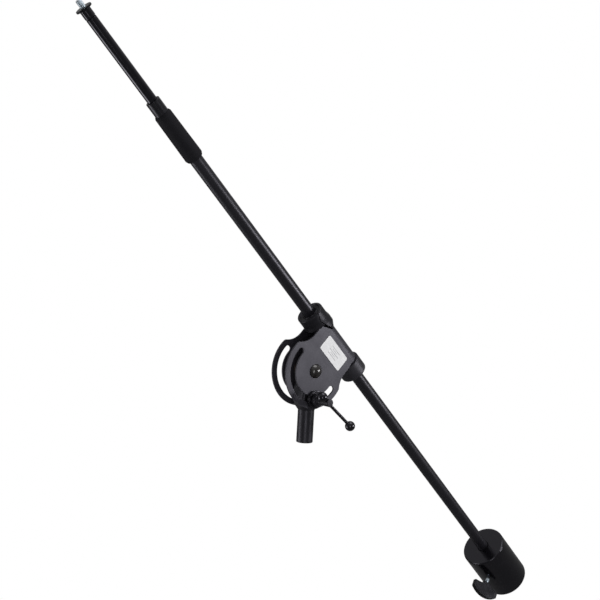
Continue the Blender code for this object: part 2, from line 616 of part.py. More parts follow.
def make_weight(frame, screw_frame, paint, zinc, knob, brass):
    weight = turned("counterweight", ring_profile(WEIGHT_BORE, WEIGHT_RADIUS, WEIGHT_HEAD, WEIGHT_TAIL,
                                                  WEIGHT_CHAMFER), paint, frame, ROUND_LARGE)
    outward = Matrix.Rotation(WEIGHT_SCREW_ANGLE, 3, "Z") @ Matrix.Rotation(math.radians(90), 3, "Y")
    bore = WEIGHT_SCREW_RADIUS + GAP
    cut(weight, spun([(0, 5), (bore, 5), (bore, WEIGHT_RADIUS + 5), (0, WEIGHT_RADIUS + 5)], ROUND_SMALL),
        paint, outward, (0, 0, WEIGHT_SCREW_PLACE))
    pad_end = 14.0
    pad_start = TUBE_RADIUS + GAP
    pad_radius = WEIGHT_SCREW_RADIUS - 0.2
    turned("weight_pad", [(0, pad_start), (pad_radius, pad_start), (pad_radius, pad_end), (0, pad_end)],
           brass, screw_frame, ROUND_SMALL)
    screw_end = WING_START + 8
    turned("weight_screw", [(0, pad_end + GAP), (WEIGHT_SCREW_RADIUS, pad_end + GAP),
                            (WEIGHT_SCREW_RADIUS, screw_end), (0, screw_end)], zinc, screw_frame, ROUND_SMALL)
    upright = Matrix.Rotation(WING_TURN, 3, "Z") @ Matrix.Rotation(math.radians(90), 3, "X")
    flat = prism(wing_outline(), -WING_HALF_THICKNESS, WING_HALF_THICKNESS)
    bmesh.ops.transform(flat, matrix=upright.to_4x4(), verts=flat.verts)
    wing = add_object("weight_wing_knob", flat, knob, screw_frame)
    join(wing, spun([(0, WING_BOSS_START), (WING_BOSS_RADIUS - 0.8, WING_BOSS_START),
                     (WING_BOSS_RADIUS, WING_BOSS_START + 0.8), (WING_BOSS_RADIUS, screw_end + 2),
                     (WING_BOSS_RADIUS - 3, screw_end + 5), (0, screw_end + 5)], ROUND_SMALL), knob)
    cut(wing, spun([(0, WING_BOSS_START - 5), (bore, WING_BOSS_START - 5), (bore, screw_end + GAP),
                    (0, screw_end + GAP)], ROUND_SMALL), knob)


def main():
    clear_scene()
    steel = material("zinc_plated_steel", (0.42, 0.45, 0.48), 0.35, 1.0)
    zinc = material("bright_screw_zinc", (0.55, 0.60, 0.64), 0.25, 1.0)
    black = material("gloss_black_steel", (0.012, 0.012, 0.014), 0.18)
    satin = material("satin_black_paint", (0.020, 0.020, 0.023), 0.38)
    tube_paint = material("tube_black_paint", (0.016, 0.016, 0.018), 0.30)
    inner_paint = material("gloss_black_tube", (0.012, 0.012, 0.013), 0.20)
    rubber = material("black_rubber", (0.018, 0.018, 0.020), 0.75)
    plastic = material("black_moulded_plastic", (0.018, 0.018, 0.020), 0.50)
    nylon = material("white_nylon", (0.70, 0.70, 0.66), 0.55)
    fibre = material("brown_fibre", (0.20, 0.12, 0.07), 0.80)
    bronze = material("bronze", (0.45, 0.28, 0.12), 0.35, 1.0)
    paper = material("white_label", (0.80, 0.80, 0.80), 0.55)
    iron = material("black_painted_iron", (0.014, 0.014, 0.015), 0.35)

    along_boom = (0, math.radians(90) + BOOM_TILT, 0)
    out_of_front = (math.radians(90), 0, 0)
    pivot = frame_at("tilt_axis", (0, 0, PIVOT_HEIGHT), along_boom)
    boom = frame_at("boom_axis", (-BOOM_OFFSET, 0, 0), (0, 0, 0), pivot)
    pivot_front = frame_at("pivot_front", (0, 0, PIVOT_HEIGHT), out_of_front)
    lock = frame_at("lock_axis", (0, 0, PIVOT_HEIGHT - SLOT_RADIUS), out_of_front)
    bar = frame_at("bar_axis", (0, 0, BAR_HEIGHT), (0, math.radians(90), BAR_ANGLE), lock)
    weight_screw = frame_at("weight_screw_axis", (0, 0, WEIGHT_SCREW_PLACE),
                            (0, math.radians(90), WEIGHT_SCREW_ANGLE), boom)

    make_stem(satin)
    make_pivot(pivot_front, steel, black, fibre, bronze)
    make_lock(lock, bar, steel, black)
    make_saddle(pivot, satin)
    make_label(pivot, paper)
    make_liner(boom, plastic, nylon)
    make_boom(boom, tube_paint, inner_paint, rubber, plastic, nylon, zinc, black)
    make_weight(boom, weight_screw, iron, zinc, plastic, bronze)


main()
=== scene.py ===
"""Swivel arm, dressed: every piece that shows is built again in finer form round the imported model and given
its own finish. Lengths are in metres, and each piece is made in the frame of the axis it is turned on and
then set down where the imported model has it.
"""

import json
import math

import bmesh
import bpy
from bpy.props import FloatProperty, FloatVectorProperty, IntProperty, PointerProperty
from mathutils import Matrix, Vector
from mathutils.geometry import tessellate_polygon


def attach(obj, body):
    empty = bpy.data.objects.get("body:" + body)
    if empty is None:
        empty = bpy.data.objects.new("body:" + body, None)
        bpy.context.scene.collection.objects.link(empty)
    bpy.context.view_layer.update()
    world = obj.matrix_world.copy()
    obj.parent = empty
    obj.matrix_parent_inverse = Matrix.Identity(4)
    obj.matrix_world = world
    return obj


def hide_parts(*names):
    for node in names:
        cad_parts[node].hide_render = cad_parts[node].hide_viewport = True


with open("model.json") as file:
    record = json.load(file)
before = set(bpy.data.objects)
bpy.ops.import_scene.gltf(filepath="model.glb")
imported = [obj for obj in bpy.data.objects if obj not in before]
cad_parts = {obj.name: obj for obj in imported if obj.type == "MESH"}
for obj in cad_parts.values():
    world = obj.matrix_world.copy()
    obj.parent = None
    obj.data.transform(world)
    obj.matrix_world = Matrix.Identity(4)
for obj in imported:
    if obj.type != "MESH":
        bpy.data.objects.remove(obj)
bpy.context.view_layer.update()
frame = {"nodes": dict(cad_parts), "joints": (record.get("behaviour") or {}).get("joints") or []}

bl_info = {
    "name": "Swivel arm",
    "version": (1, 0, 0),
    "blender": (4, 5, 0),
    "location": "3D View > Sidebar > Swivel arm",
    "description": "Builds the pieces, finishes and stage of a counterweighted swivel arm",
    "category": "Add Mesh",
}


def joint(name):
    return next(item for item in frame["joints"] if item["name"] == name)


def axis_frame(origin, along, across):
    """A frame at a point whose Z runs along an axis and whose X leans to the given side."""
    z = Vector(along).normalized()
    x = Vector(across) - z * z.dot(Vector(across))
    x.normalize()
    made = Matrix((x, z.cross(x), z)).transposed().to_4x4()
    made.translation = origin
    return made


PIVOT = Vector(joint("tilt")["pos_m"])
BOOM_PLACE = Vector(joint("boom_turn")["pos_m"])
BOOM_AXIS = Vector(joint("boom_turn")["axis"]).normalized()
LOCK_PLACE = Vector(joint("lever_turn")["pos_m"])
WING_PLACE = Vector(joint("wing_turn")["pos_m"])

BOOM = axis_frame(BOOM_PLACE, BOOM_AXIS, PIVOT - BOOM_PLACE)
TILT = axis_frame(PIVOT, BOOM_AXIS, PIVOT - BOOM_PLACE)
PIVOT_FRONT = axis_frame(PIVOT, (0, -1, 0), (1, 0, 0))
LOCK = axis_frame((LOCK_PLACE.x, 0, LOCK_PLACE.z), (0, -1, 0), (1, 0, 0))
SCREW = axis_frame(WING_PLACE, joint("wing_turn")["axis"], -BOOM_AXIS)
UPRIGHT = Matrix.Rotation(math.pi / 2, 4, "X")
FLIPPED = Matrix.Rotation(math.pi, 4, "X")
BOOM_OFFSET = (BOOM_PLACE - PIVOT).length
SLOT_RADIUS = PIVOT.z - LOCK_PLACE.z
GAP = 0.0003
ON_AXIS = 1e-7
WHITE = (1.0, 1.0, 1.0, 1.0)
COOL = (0.89, 0.87, 1.0, 1.0)
NOISE_LOW, NOISE_HIGH = 0.3, 0.7
FINISH = {}
TREES = {}


def size(name, about, value):
    return FloatProperty(name=name, description=about, default=value, unit="LENGTH", precision=5)


def angle(name, about, degrees):
    return FloatProperty(name=name, description=about, default=math.radians(degrees), unit="ROTATION")


def share(name, about, value):
    return FloatProperty(name=name, description=about, default=value, min=0, max=1, subtype="FACTOR")


def colour(name, about, value):
    return FloatVectorProperty(name=name, description=about, default=value, subtype="COLOR", min=0, max=1)


class StemSizes(bpy.types.PropertyGroup):
    spigot_radius: size("Spigot radius", "Half of the 28.6 mm spigot", 0.0143)
    spigot_height: size("Spigot height", "Where the round spigot starts to widen", 0.0565)
    lug_base: size("Lug base", "Where the lug has its full width", 0.0755)
    lug_half_width: size("Lug half width", "At its base", 0.0215)
    lug_top_radius: size("Lug top radius", "Round the pivot", 0.0190)
    lug_half_depth: size("Lug half depth", "From the middle to the cheek", 0.0167)
    lug_corner: size("Lug corner", "Radius of the lug's edges", 0.0050)
    disc_radius: size("Friction disc radius", "The recess is a little larger", 0.0170)
    dome_radius: size("Pivot dome radius", "Head of the pivot bolt", 0.0121)
    dome_height: size("Pivot dome height", "Head of the pivot bolt", 0.0074)
    dome_skirt: size("Pivot dome skirt", "Straight foot of the pivot bolt's head", 0.0005)


class SaddleSizes(bpy.types.PropertyGroup):
    sheet: size("Sheet", "Thickness of the folded steel", 0.0030)
    face: size("Cheek face", "From the middle to a cheek's outer face", 0.0200)
    edge: size("Edge rounding", "Rounding of the cut edges", 0.0005)
    disc_radius: size("Disc radius", "Round the pivot", 0.0645)
    ear_tip: size("Tip ear", "Reach of the cheek towards the tip", 0.0475)
    ear_tail: size("Tail ear", "Reach of the cheek towards the weight", 0.0520)
    neck: size("Neck", "Reach of the fold's middle towards the tip", 0.0250)
    waist_level: size("Waist level", "Height of the hollow above the pivot", 0.0410)
    waist_radius: size("Waist radius", "Of the hollow beside the disc", 0.0380)
    corner: size("Corner", "Radius where the hollow meets the disc", 0.0080)
    slot_half_width: size("Slot half width", "Of the arc slots", 0.0057)
    slot_half_sweep: angle("Slot half sweep", "Of the arc slots, from the boom's side", 92.0)
    label_tip: size("Label tip end", "Along the boom", -0.0240)
    label_tail: size("Label tail end", "Along the boom", 0.0365)
    label_low: size("Label outer edge", "From the boom's axis", 0.0050)
    label_high: size("Label inner edge", "From the boom's axis", 0.0350)
    label_corner: size("Label corner", "Rounding of the label", 0.0032)
    rule_count: IntProperty(name="Rule count", description="Plain printed rules", default=5, min=0)
    rule_spacing: size("Rule spacing", "Between the printed rules", 0.0034)
    rule_length: size("Rule length", "Of the longest printed rule", 0.0300)
    rule_width: size("Rule width", "Of the printed rules", 0.0007)


class LockSizes(bpy.types.PropertyGroup):
    screw_radius: size("Screw radius", "Of the locking screw", 0.0050)
    screw_end: size("Screw end", "Inside the hub", 0.0455)
    washer_radius: size("Washer radius", "The thick front washer", 0.0157)
    washer_thickness: size("Washer thickness", "The thick front washer", 0.0050)
    collar_radius: size("Hub collar radius", "Wide foot of the hub", 0.0105)
    collar_height: size("Hub collar height", "Top of the wide foot", 0.0335)
    hub_radius: size("Hub radius", "Of the hub's stem", 0.0068)
    hub_end: size("Hub end", "Height of the hub's end", 0.0630)
    bar_height: size("Bar height", "Where the bar runs through the hub", 0.0560)
    bar_angle: angle("Bar angle", "Of the bar at rest", -39)
    bar_radius: size("Bar radius", "Of the sliding bar", 0.0028)
    bar_length: size("Bar length", "End to end", 0.0910)
    ball_radius: size("Ball radius", "Of both balls", 0.0088)
    ball_near: size("Near ball", "Its middle along the bar", -0.0159)
    ball_far: size("Far ball", "Its middle along the bar", 0.0685)


class BoomSizes(bpy.types.PropertyGroup):
    tube_radius: size("Tube radius", "Outer tube", 0.0111)
    tube_bore: size("Tube bore", "Outer tube", 0.0099)
    tube_head: size("Tube head", "Along the boom from the clamp", -0.4970)
    tube_tail: size("Tube tail", "Along the boom from the clamp", 0.7320)
    inner_radius: size("Inner tube radius", "Sliding tube", 0.00835)
    inner_bore: size("Inner tube bore", "Sliding tube", 0.00715)
    inner_head: size("Inner tube head", "Along the boom", -0.6747)
    inner_tail: size("Inner tube tail", "Along the boom", 0.1500)
    nose_radius: size("Nose radius", "Of the clutch", 0.0116)
    nose_head: size("Nose head", "Along the boom", -0.5270)
    grip_head: size("Grip head", "Along the boom", -0.5028)
    grip_tail: size("Grip tail", "Along the boom", -0.4145)
    grip_head_radius: size("Grip head radius", "At the nose", 0.01415)
    grip_tail_radius: size("Grip tail radius", "At the tube", 0.0152)
    collar_radius: size("Collar radius", "Moulded collars", 0.0240)
    collar_rim: size("Collar rim", "Widest part of the tip collar", 0.0257)
    collar_head: size("Tip collar end", "Along the boom", -0.0730)
    collar_tail: size("Tail collar end", "Along the boom", 0.0815)
    hood_root: size("Hood root", "Height of the hood's edge where it leaves the collar", -0.0015)
    hood_end: size("Hood end", "Height of the hood's edge at the saddle", 0.0100)
    hood_groove: size("Hood groove", "Width of the groove that sets the hood off", 0.0014)
    hood_line: FloatVectorProperty(
        name="Hood line", description="The groove on the collar: pairs of place along the boom and height",
        size=14, unit="LENGTH", precision=5,
        default=(-0.0760, -0.0003, -0.0700, -0.0010, -0.0640, -0.0034, -0.0585, -0.0048, -0.0535, -0.0042,
                 -0.0500, -0.0024, -0.0478, -0.0015))
    liner_radius: size("Liner radius", "Under the collars", 0.0167)
    liner_bore: size("Liner bore", "Under the collars", 0.0136)
    bush_head: size("Bush head", "Along the boom", -0.0600)
    bush_tail: size("Bush tail", "Along the boom", 0.0680)
    ferrule_radius: size("Ferrule radius", "At the tip", 0.0086)
    ferrule_head: size("Ferrule head", "Along the boom", -0.6893)
    flange_radius: size("Flange radius", "At the tip", 0.0130)
    flange_head: size("Flange head", "Along the boom", -0.6929)
    stud_radius: size("Stud radius", "The 3/8 inch screw", 0.00475)
    stud_head: size("Stud head", "Along the boom", -0.7050)
    stud_pitch: size("Stud pitch", "16 turns an inch", 0.0015875)


class WeightSizes(bpy.types.PropertyGroup):
    radius: size("Radius", "Of the weight", 0.0437)
    bore: size("Bore", "Of the weight", 0.0115)
    head: size("Head", "Along the boom", 0.6105)
    tail: size("Tail", "Along the boom", 0.7215)
    chamfer: size("Edge", "Rounding of the weight's edges", 0.0030)
    screw_radius: size("Screw radius", "Of the winged screw", 0.0040)
    wing_turn: angle("Wing turn", "Of the wing about its screw at rest", 28)
    wing_half_width: size("Wing half width", "Tip to middle", 0.0274)
    wing_start: size("Wing start", "Along the screw", 0.0614)
    wing_end: size("Wing end", "Along the screw", 0.0849)
    wing_side: size("Wing side", "Length of its short ends", 0.0125)
    wing_rise: size("Wing rise", "Slope of its upper edge towards the middle", 0.0018)
    hump_half_width: size("Hump half width", "Flat hump in the wing's middle", 0.0072)
    wing_half_thickness: size("Wing half thickness", "Of the wing", 0.0046)
    hump_start: size("Hump start", "Along the screw", 0.0530)


class Finishes(bpy.types.PropertyGroup):
    sheet_paint: colour("Sheet paint", "Satin black on the folded sheet", (0.0160, 0.0152, 0.0195))
    cast_paint: colour("Cast paint", "Satin black on the stem", (0.0050, 0.0048, 0.0062))
    tube_paint: colour("Tube paint", "Black on the outer tube", (0.0045, 0.0043, 0.0056))
    inner_paint: colour("Inner tube paint", "Gloss black on the sliding tube", (0.0030, 0.0029, 0.0038))
    gloss_black: colour("Gloss black", "On the lever, clutch nose and pivot bolt", (0.0030, 0.0029, 0.0036))
    plastic: colour("Black plastic", "Tip collar, flange and end cap", (0.0060, 0.0058, 0.0072))
    wing_plastic: colour("Wing plastic", "Wing of the weight's screw", (0.0040, 0.0039, 0.0047))
    collar_plastic: colour("Collar plastic", "Tail collar", (0.0085, 0.0082, 0.0102))
    satin_black: colour("Satin black", "Lever hub", (0.0090, 0.0086, 0.0105))
    blackened_steel: colour("Blackened steel", "Head of the pivot bolt", (0.0065, 0.0046, 0.0040))
    rubber: colour("Black rubber", "Clutch grip", (0.0042, 0.0041, 0.0050))
    iron_paint: colour("Iron paint", "On the weight", (0.0016, 0.0015, 0.0020))
    zinc: colour("Zinc plating", "Screws, nut and washers", (0.70, 0.76, 0.81))
    label: colour("Label", "Blank film", (0.66, 0.66, 0.67))
    ink: colour("Ink", "Plain printed rules", (0.20, 0.20, 0.21))
    nylon: colour("Nylon", "Guide bush, collet and glide", (0.70, 0.70, 0.66))
    fibre: colour("Fibre", "Friction discs", (0.20, 0.12, 0.07))
    bronze: colour("Bronze", "Pivot bush and pad", (0.45, 0.28, 0.12))


class StageSettings(bpy.types.PropertyGroup):
    camera_place: FloatVectorProperty(name="Camera place", description="Where the camera stands",
                                      default=(-1.1051, -1.34262, 0.3273), subtype="TRANSLATION")
    camera_heading: angle("Camera heading", "Turn about the vertical", -38.7687)
    camera_rise: angle("Camera rise", "Up from level", -2.7162)
    camera_roll: angle("Camera roll", "About its own axis", 3.1373)
    lens: FloatProperty(name="Lens", description="Focal length in millimetres on a 36 mm sensor",
                        default=60.86, min=1)
    floor_level: size("Floor level", "Height of the floor", -0.90)
    floor_radius: size("Floor radius", "Reach of the floor", 1.6)
    floor_colour: colour("Floor colour", "Plain and pale", (0.80, 0.80, 0.80))
    sky_light: share("Soft light", "Strength of the light from all round", 0.50)
    # The studio's walls and ceiling glow at these levels, in reflections only: painted light, not lamps.
    wall_grey: share("Wall grey", "Brightness of the studio's unlit walls in reflections", 0.15)
    ceiling_glow: share("Ceiling grey", "Brightness of the studio's ceiling in reflections", 0.45)
    wall_radius: size("Wall radius", "From the arm to the walls", 4.0)
    wall_top: size("Wall top", "Height of the ceiling", 3.0)
    wall_start: FloatProperty(name="Wall start", description="Heading in degrees where the walls start",
                              default=-200)
    wall_end: FloatProperty(name="Wall end", description="Heading in degrees where the walls end", default=121)


class SwivelArm(bpy.types.PropertyGroup):
    stem: PointerProperty(type=StemSizes)
    saddle: PointerProperty(type=SaddleSizes)
    lock: PointerProperty(type=LockSizes)
    boom: PointerProperty(type=BoomSizes)
    weight: PointerProperty(type=WeightSizes)
    finishes: PointerProperty(type=Finishes)
    stage: PointerProperty(type=StageSettings)


def arm():
    return bpy.context.scene.swivel_arm


# Outlines

def arc(centre, radius, start, end, steps):
    """Points of a circular arc, both ends included."""
    turns = [start + (end - start) * step / steps for step in range(steps + 1)]
    return [(centre[0] + radius * math.cos(turn), centre[1] + radius * math.sin(turn)) for turn in turns]


def circle(radius, height, count):
    """Points of a full circle round Z."""
    turns = [math.tau * k / count for k in range(count)]
    return [(radius * math.cos(turn), radius * math.sin(turn), height) for turn in turns]


def rounded(corners, steps, closed=True):
    """Points of an outline whose corners, given as (x, y, radius), are rounded."""
    most_share = 0.49
    points = []
    count = len(corners)
    for index, (x, y, *given) in enumerate(corners):
        radius = given[0] if given else 0.0
        here = Vector((x, y))
        if radius <= 0 or (not closed and index in (0, count - 1)):
            points.append((x, y))
            continue
        back = Vector(corners[index - 1][:2]) - here
        ahead = Vector(corners[(index + 1) % count][:2]) - here
        half = back.angle(ahead) / 2
        reach = min(radius / math.tan(half), back.length * most_share, ahead.length * most_share)
        back.normalize()
        ahead.normalize()
        centre = here + (back + ahead).normalized() * (reach / math.cos(half))
        first = here + back * reach - centre
        last = here + ahead * reach - centre
        sweep = math.atan2(first.x * last.y - first.y * last.x, first.dot(last))
        for step in range(steps + 1):
            turn = sweep * step / steps
            points.append((centre.x + first.x * math.cos(turn) - first.y * math.sin(turn),
                           centre.y + first.x * math.sin(turn) + first.y * math.cos(turn)))
    return points


def oblong(near, far, low, high, *edges):
    """The corners of a rectangle, such as a ring's profile, with one rounding for all or one for each."""
    corners = ((near, low), (far, low), (far, high), (near, high))
    return [(*corner, edge) for corner, edge in zip(corners, edges * 4)]


def inset(points, amount):
    """An outline moved to its left, which is inwards where it runs anticlockwise."""
    least_stretch = 0.4
    moved = []
    for index, point in enumerate(points):
        before, here, after = Vector(points[index - 1]), Vector(point), Vector(points[(index + 1) % len(points)])
        first = (here - before).normalized()
        second = (after - here).normalized()
        lean = (first + second).normalized()
        normal = Vector((-lean.y, lean.x))
        stretch = max(normal.dot(Vector((-first.y, first.x))), least_stretch)
        moved.append(tuple(here + normal * (amount / stretch)))
    return moved


def anticlockwise(points):
    area = sum(a[0] * b[1] - b[0] * a[1] for a, b in zip(points, points[1:] + points[:1]))
    return points if area > 0 else list(reversed(points))


def soft_edged(outline, low, high, edge, steps):
    """Rings that take an outline from low to high with both of its edges rounded."""
    rings = []
    for level, way in ((low + edge, -1), (high - edge, 1)):
        for step in range(steps + 1) if way > 0 else range(steps, -1, -1):
            turn = math.pi / 2 * step / steps
            ring = inset(outline, edge * (1 - math.cos(turn))) if step else outline
            rings.append([(x, y, level + way * edge * math.sin(turn)) for x, y in ring])
    return rings


# Meshes

def added(name, data):
    """A new object in the scene, at the origin."""
    made = bpy.data.objects.new(name, data)
    bpy.context.scene.collection.objects.link(made)
    return made


def as_mesh(name, bm):
    """A plain mesh, which uses the working one up."""
    mesh = bpy.data.meshes.new(name)
    bm.to_mesh(mesh)
    bm.free()
    return mesh


def bridge(bm, lower, upper):
    """Faces between two loops of vertices, either of which may be one vertex."""
    count = max(len(lower), len(upper))
    for index in range(count):
        after = (index + 1) % count
        if len(lower) == 1:
            bm.faces.new((lower[0], upper[after], upper[index]))
        elif len(upper) == 1:
            bm.faces.new((lower[index], lower[after], upper[0]))
        else:
            bm.faces.new((lower[index], lower[after], upper[after], upper[index]))


def lathe(profile, segments=96):
    """A mesh turned about Z from (radius, height) points: a closed ring, or a line from axis to axis."""
    bm = bmesh.new()
    rings = [[(0, 0, height)] if radius < ON_AXIS else circle(radius, height, segments)
             for radius, height in profile]
    loops = [[bm.verts.new(point) for point in ring] for ring in rings]
    ends_on_axis = len(loops[0]) == 1 and len(loops[-1]) == 1
    for lower, upper in list(zip(loops, loops[1:])) + ([] if ends_on_axis else [(loops[-1], loops[0])]):
        if len(lower) > 1 or len(upper) > 1:
            bridge(bm, lower, upper)
    bmesh.ops.recalc_face_normals(bm, faces=bm.faces)
    return bm


def rod(radius, low, high):
    """A plain round rod on Z, which mostly serves as a drill."""
    return lathe([(0, low), (radius, low), (radius, high), (0, high)], segments=48)


def loft(rings, hollow=False):
    """A mesh through rings of equal count; the ends are closed, or joined to each other where it is hollow."""
    bm = bmesh.new()
    loops = [[bm.verts.new(point) for point in ring] for ring in rings]
    for lower, upper in zip(loops, loops[1:] + loops[:1] if hollow else loops[1:]):
        bridge(bm, lower, upper)
    if not hollow:
        bm.faces.new(list(reversed(loops[0])))
        bm.faces.new(loops[-1])
    bmesh.ops.recalc_face_normals(bm, faces=bm.faces)
    return bm


def slab(outline, low, high, edge, steps):
    """A flat piece from an outline in XY, with its edges rounded."""
    return loft(soft_edged(anticlockwise(outline), low, high, edge, steps))


def hexagon_piece(apothem, low, high, face_radius, bore=0.0):
    """A hexagon head or nut from low to high, its upper corners turned off at 30 degrees."""
    segments = 96
    under, rim, top = [], [], []
    for k in range(segments):
        turn = math.tau * k / segments
        reach = apothem / math.cos((turn + math.pi / 6) % (math.pi / 3) - math.pi / 6)
        drop = max(0.0, reach - face_radius) * math.tan(math.radians(30))
        inner = min(reach, face_radius)
        for ring, out, level in ((under, reach, low), (rim, reach, high - drop), (top, inner, high)):
            ring.append((out * math.cos(turn), out * math.sin(turn), level))
    rings = [under, rim, top]
    if bore:
        rings = [circle(bore, low, segments)] + rings + [circle(bore, high, segments)]
    return loft(rings, hollow=bool(bore))


def joined(*parts):
    """Several meshes as one."""
    whole = bmesh.new()
    for part in parts:
        mesh = as_mesh("part", part)
        whole.from_mesh(mesh)
        bpy.data.meshes.remove(mesh)
    return whole


def placed(bm, where):
    bmesh.ops.transform(bm, matrix=where, verts=bm.verts)
    return bm


def evaluated_mesh(holder):
    bpy.context.view_layer.update()
    graph = bpy.context.evaluated_depsgraph_get()
    return bpy.data.meshes.new_from_object(holder.evaluated_get(graph))


def carved(bm, cutters):
    """The mesh with the cutters taken from it."""
    target = added("blank", as_mesh("blank", bm))
    tools = [added("cutter", as_mesh("cutter", cutter)) for cutter in cutters]
    for tool in tools:
        step = target.modifiers.new("cut", "BOOLEAN")
        step.operation = "DIFFERENCE"
        step.solver = "EXACT"
        step.object = tool
    mesh = evaluated_mesh(target)
    for used in tools + [target]:
        bpy.data.objects.remove(used)
    made = bmesh.new()
    made.from_mesh(mesh)
    bpy.data.meshes.remove(mesh)
    bmesh.ops.remove_doubles(made, verts=made.verts, dist=1e-6)
    bmesh.ops.dissolve_degenerate(made, edges=made.edges, dist=1e-7)
    return made


def piece(name, bm, where, finish, body, replaced=(), slot=None, sharp=35):
    """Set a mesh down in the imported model, give it its finish and let it ride on its body."""
    mesh = bm if isinstance(bm, bpy.types.Mesh) else as_mesh(name, bm)
    mesh.name = name
    mesh.transform(where)
    mesh.materials.clear()
    mesh.materials.append(FINISH[finish])
    mesh.shade_smooth()
    mesh.set_sharp_from_angle(angle=math.radians(sharp))
    made = added(name, mesh)
    even = made.modifiers.new("even_shading", "WEIGHTED_NORMAL")
    even.keep_sharp = True
    even.weight = 80
    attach(made, body)
    if replaced:
        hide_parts(*replaced)


def turned_piece(name, corners, where, *given, steps, segments=96):
    """A piece turned about Z from a profile whose corners are given as (radius, place along Z, rounding)."""
    piece(name, lathe(rounded(corners, steps), segments), where, *given)


# Node trees

def node(tree, kind, inputs=(), out=0, **settings):
    """An output of a new node, whose inputs are given as sockets to link or as plain values."""
    made = tree.nodes.new(kind)
    for key, value in settings.items():
        setattr(made, key, value)
    for key, value in dict(inputs).items():
        if isinstance(value, bpy.types.NodeSocket):
            tree.links.new(value, made.inputs[key])
        else:
            made.inputs[key].default_value = value
    return made.outputs[out]


class Tree:
    """A geometry node tree under construction, with named inputs."""

    def __init__(self, name, inputs):
        self.tree = bpy.data.node_groups.new(name, "GeometryNodeTree")
        self.tree.is_modifier = True
        face = self.tree.interface
        for label, kind in (("Geometry", "Geometry"), *inputs, ("Material", "Material")):
            face.new_socket(name=label, in_out="INPUT", socket_type="NodeSocket" + kind)
        face.new_socket(name="Geometry", in_out="OUTPUT", socket_type="NodeSocketGeometry")
        self.given = self.tree.nodes.new("NodeGroupInput").outputs

    def add(self, kind, *values, named=(), **settings):
        """A node with its inputs given by order or by name."""
        return node(self.tree, kind, {**dict(enumerate(values)), **dict(named)}, **settings)

    def math(self, kind, *values):
        return self.add("ShaderNodeMath", *values, operation=kind)

    def finish(self, geometry):
        """End in real geometry with its material set."""
        solid = self.add("GeometryNodeRealizeInstances", geometry)
        dressed = self.add("GeometryNodeSetMaterial", solid, named={"Material": self.given["Material"]})
        end = self.tree.nodes.new("NodeGroupOutput")
        self.tree.links.new(dressed, end.inputs[0])
        return self.tree


def grown(tree, mesh, **values):
    """The plain mesh that a tree makes from a mesh with these inputs."""
    holder = added("holder", mesh)
    step = holder.modifiers.new("tree", "NODES")
    step.node_group = tree
    for item in tree.interface.items_tree:
        key = item.name.replace(" ", "_").lower()
        if item.in_out == "INPUT" and key in values:
            step[item.identifier] = values[key]
    made = evaluated_mesh(holder)
    holder.modifiers.remove(step)
    bpy.data.objects.remove(holder)
    return made


def thread_tree():
    """A screw thread on a core: one pitch-wide strip wound up the screw, tapered off at its end."""
    t = Tree("screw_thread", [("Core Radius", "Float"), ("Crest Radius", "Float"), ("Pitch", "Float"),
                              ("Length", "Float"), ("End Taper", "Float"), ("Steps A Turn", "Int")])
    core, crest, pitch, length, taper, steps = (t.given[name] for name in (
        "Core Radius", "Crest Radius", "Pitch", "Length", "End Taper", "Steps A Turn"))
    margin = 0.00001
    flank_height, flank_slope = 1.12, 2.5
    turns = t.math("ADD", t.math("CEIL", t.math("DIVIDE", length, pitch)), 1.0)
    count = t.math("ADD", t.math("MULTIPLY", turns, steps), 1.0)
    strip = t.add("GeometryNodeMeshGrid", 1.0, 1.0, count, 9)
    along, across, _ = t.add("ShaderNodeSeparateXYZ", t.add("GeometryNodeInputPosition")).node.outputs
    wound = t.math("MULTIPLY", t.math("ADD", along, 0.5), turns)
    turn = t.math("MULTIPLY", wound, math.tau)
    rise = t.math("MULTIPLY", t.math("SUBTRACT", t.math("ADD", wound, across), 0.5), pitch)
    level = t.add("ShaderNodeClamp", rise, margin, t.math("SUBTRACT", length, margin))
    flank = t.math("SUBTRACT", flank_height, t.math("MULTIPLY", t.math("ABSOLUTE", across), flank_slope))
    crested = t.add("ShaderNodeClamp", flank, 0.0, 1.0)
    full = t.math("ADD", core, t.math("MULTIPLY", t.math("SUBTRACT", crest, core), crested))
    over = t.math("MAXIMUM", t.math("SUBTRACT", level, t.math("SUBTRACT", length, taper)), 0.0)
    radius = t.math("MINIMUM", full, t.math("SUBTRACT", crest, over))
    spot = t.add("ShaderNodeCombineXYZ", t.math("MULTIPLY", radius, t.math("COSINE", turn)),
                 t.math("MULTIPLY", radius, t.math("SINE", turn)), level)
    wrapped = t.add("GeometryNodeSetPosition", strip, named={"Position": spot})
    merged = t.add("GeometryNodeMergeByDistance", wrapped, named={"Distance": 1e-6})
    bar = t.add("GeometryNodeMeshCylinder", named={"Vertices": 48, "Radius": core, "Depth": length})
    middle = t.add("ShaderNodeCombineXYZ", 0.0, 0.0, t.math("DIVIDE", length, 2.0))
    raised = t.add("GeometryNodeTransform", bar, named={"Translation": middle})
    both = t.add("GeometryNodeJoinGeometry", merged)
    t.tree.links.new(raised, both.node.inputs[0])
    return t.finish(both)


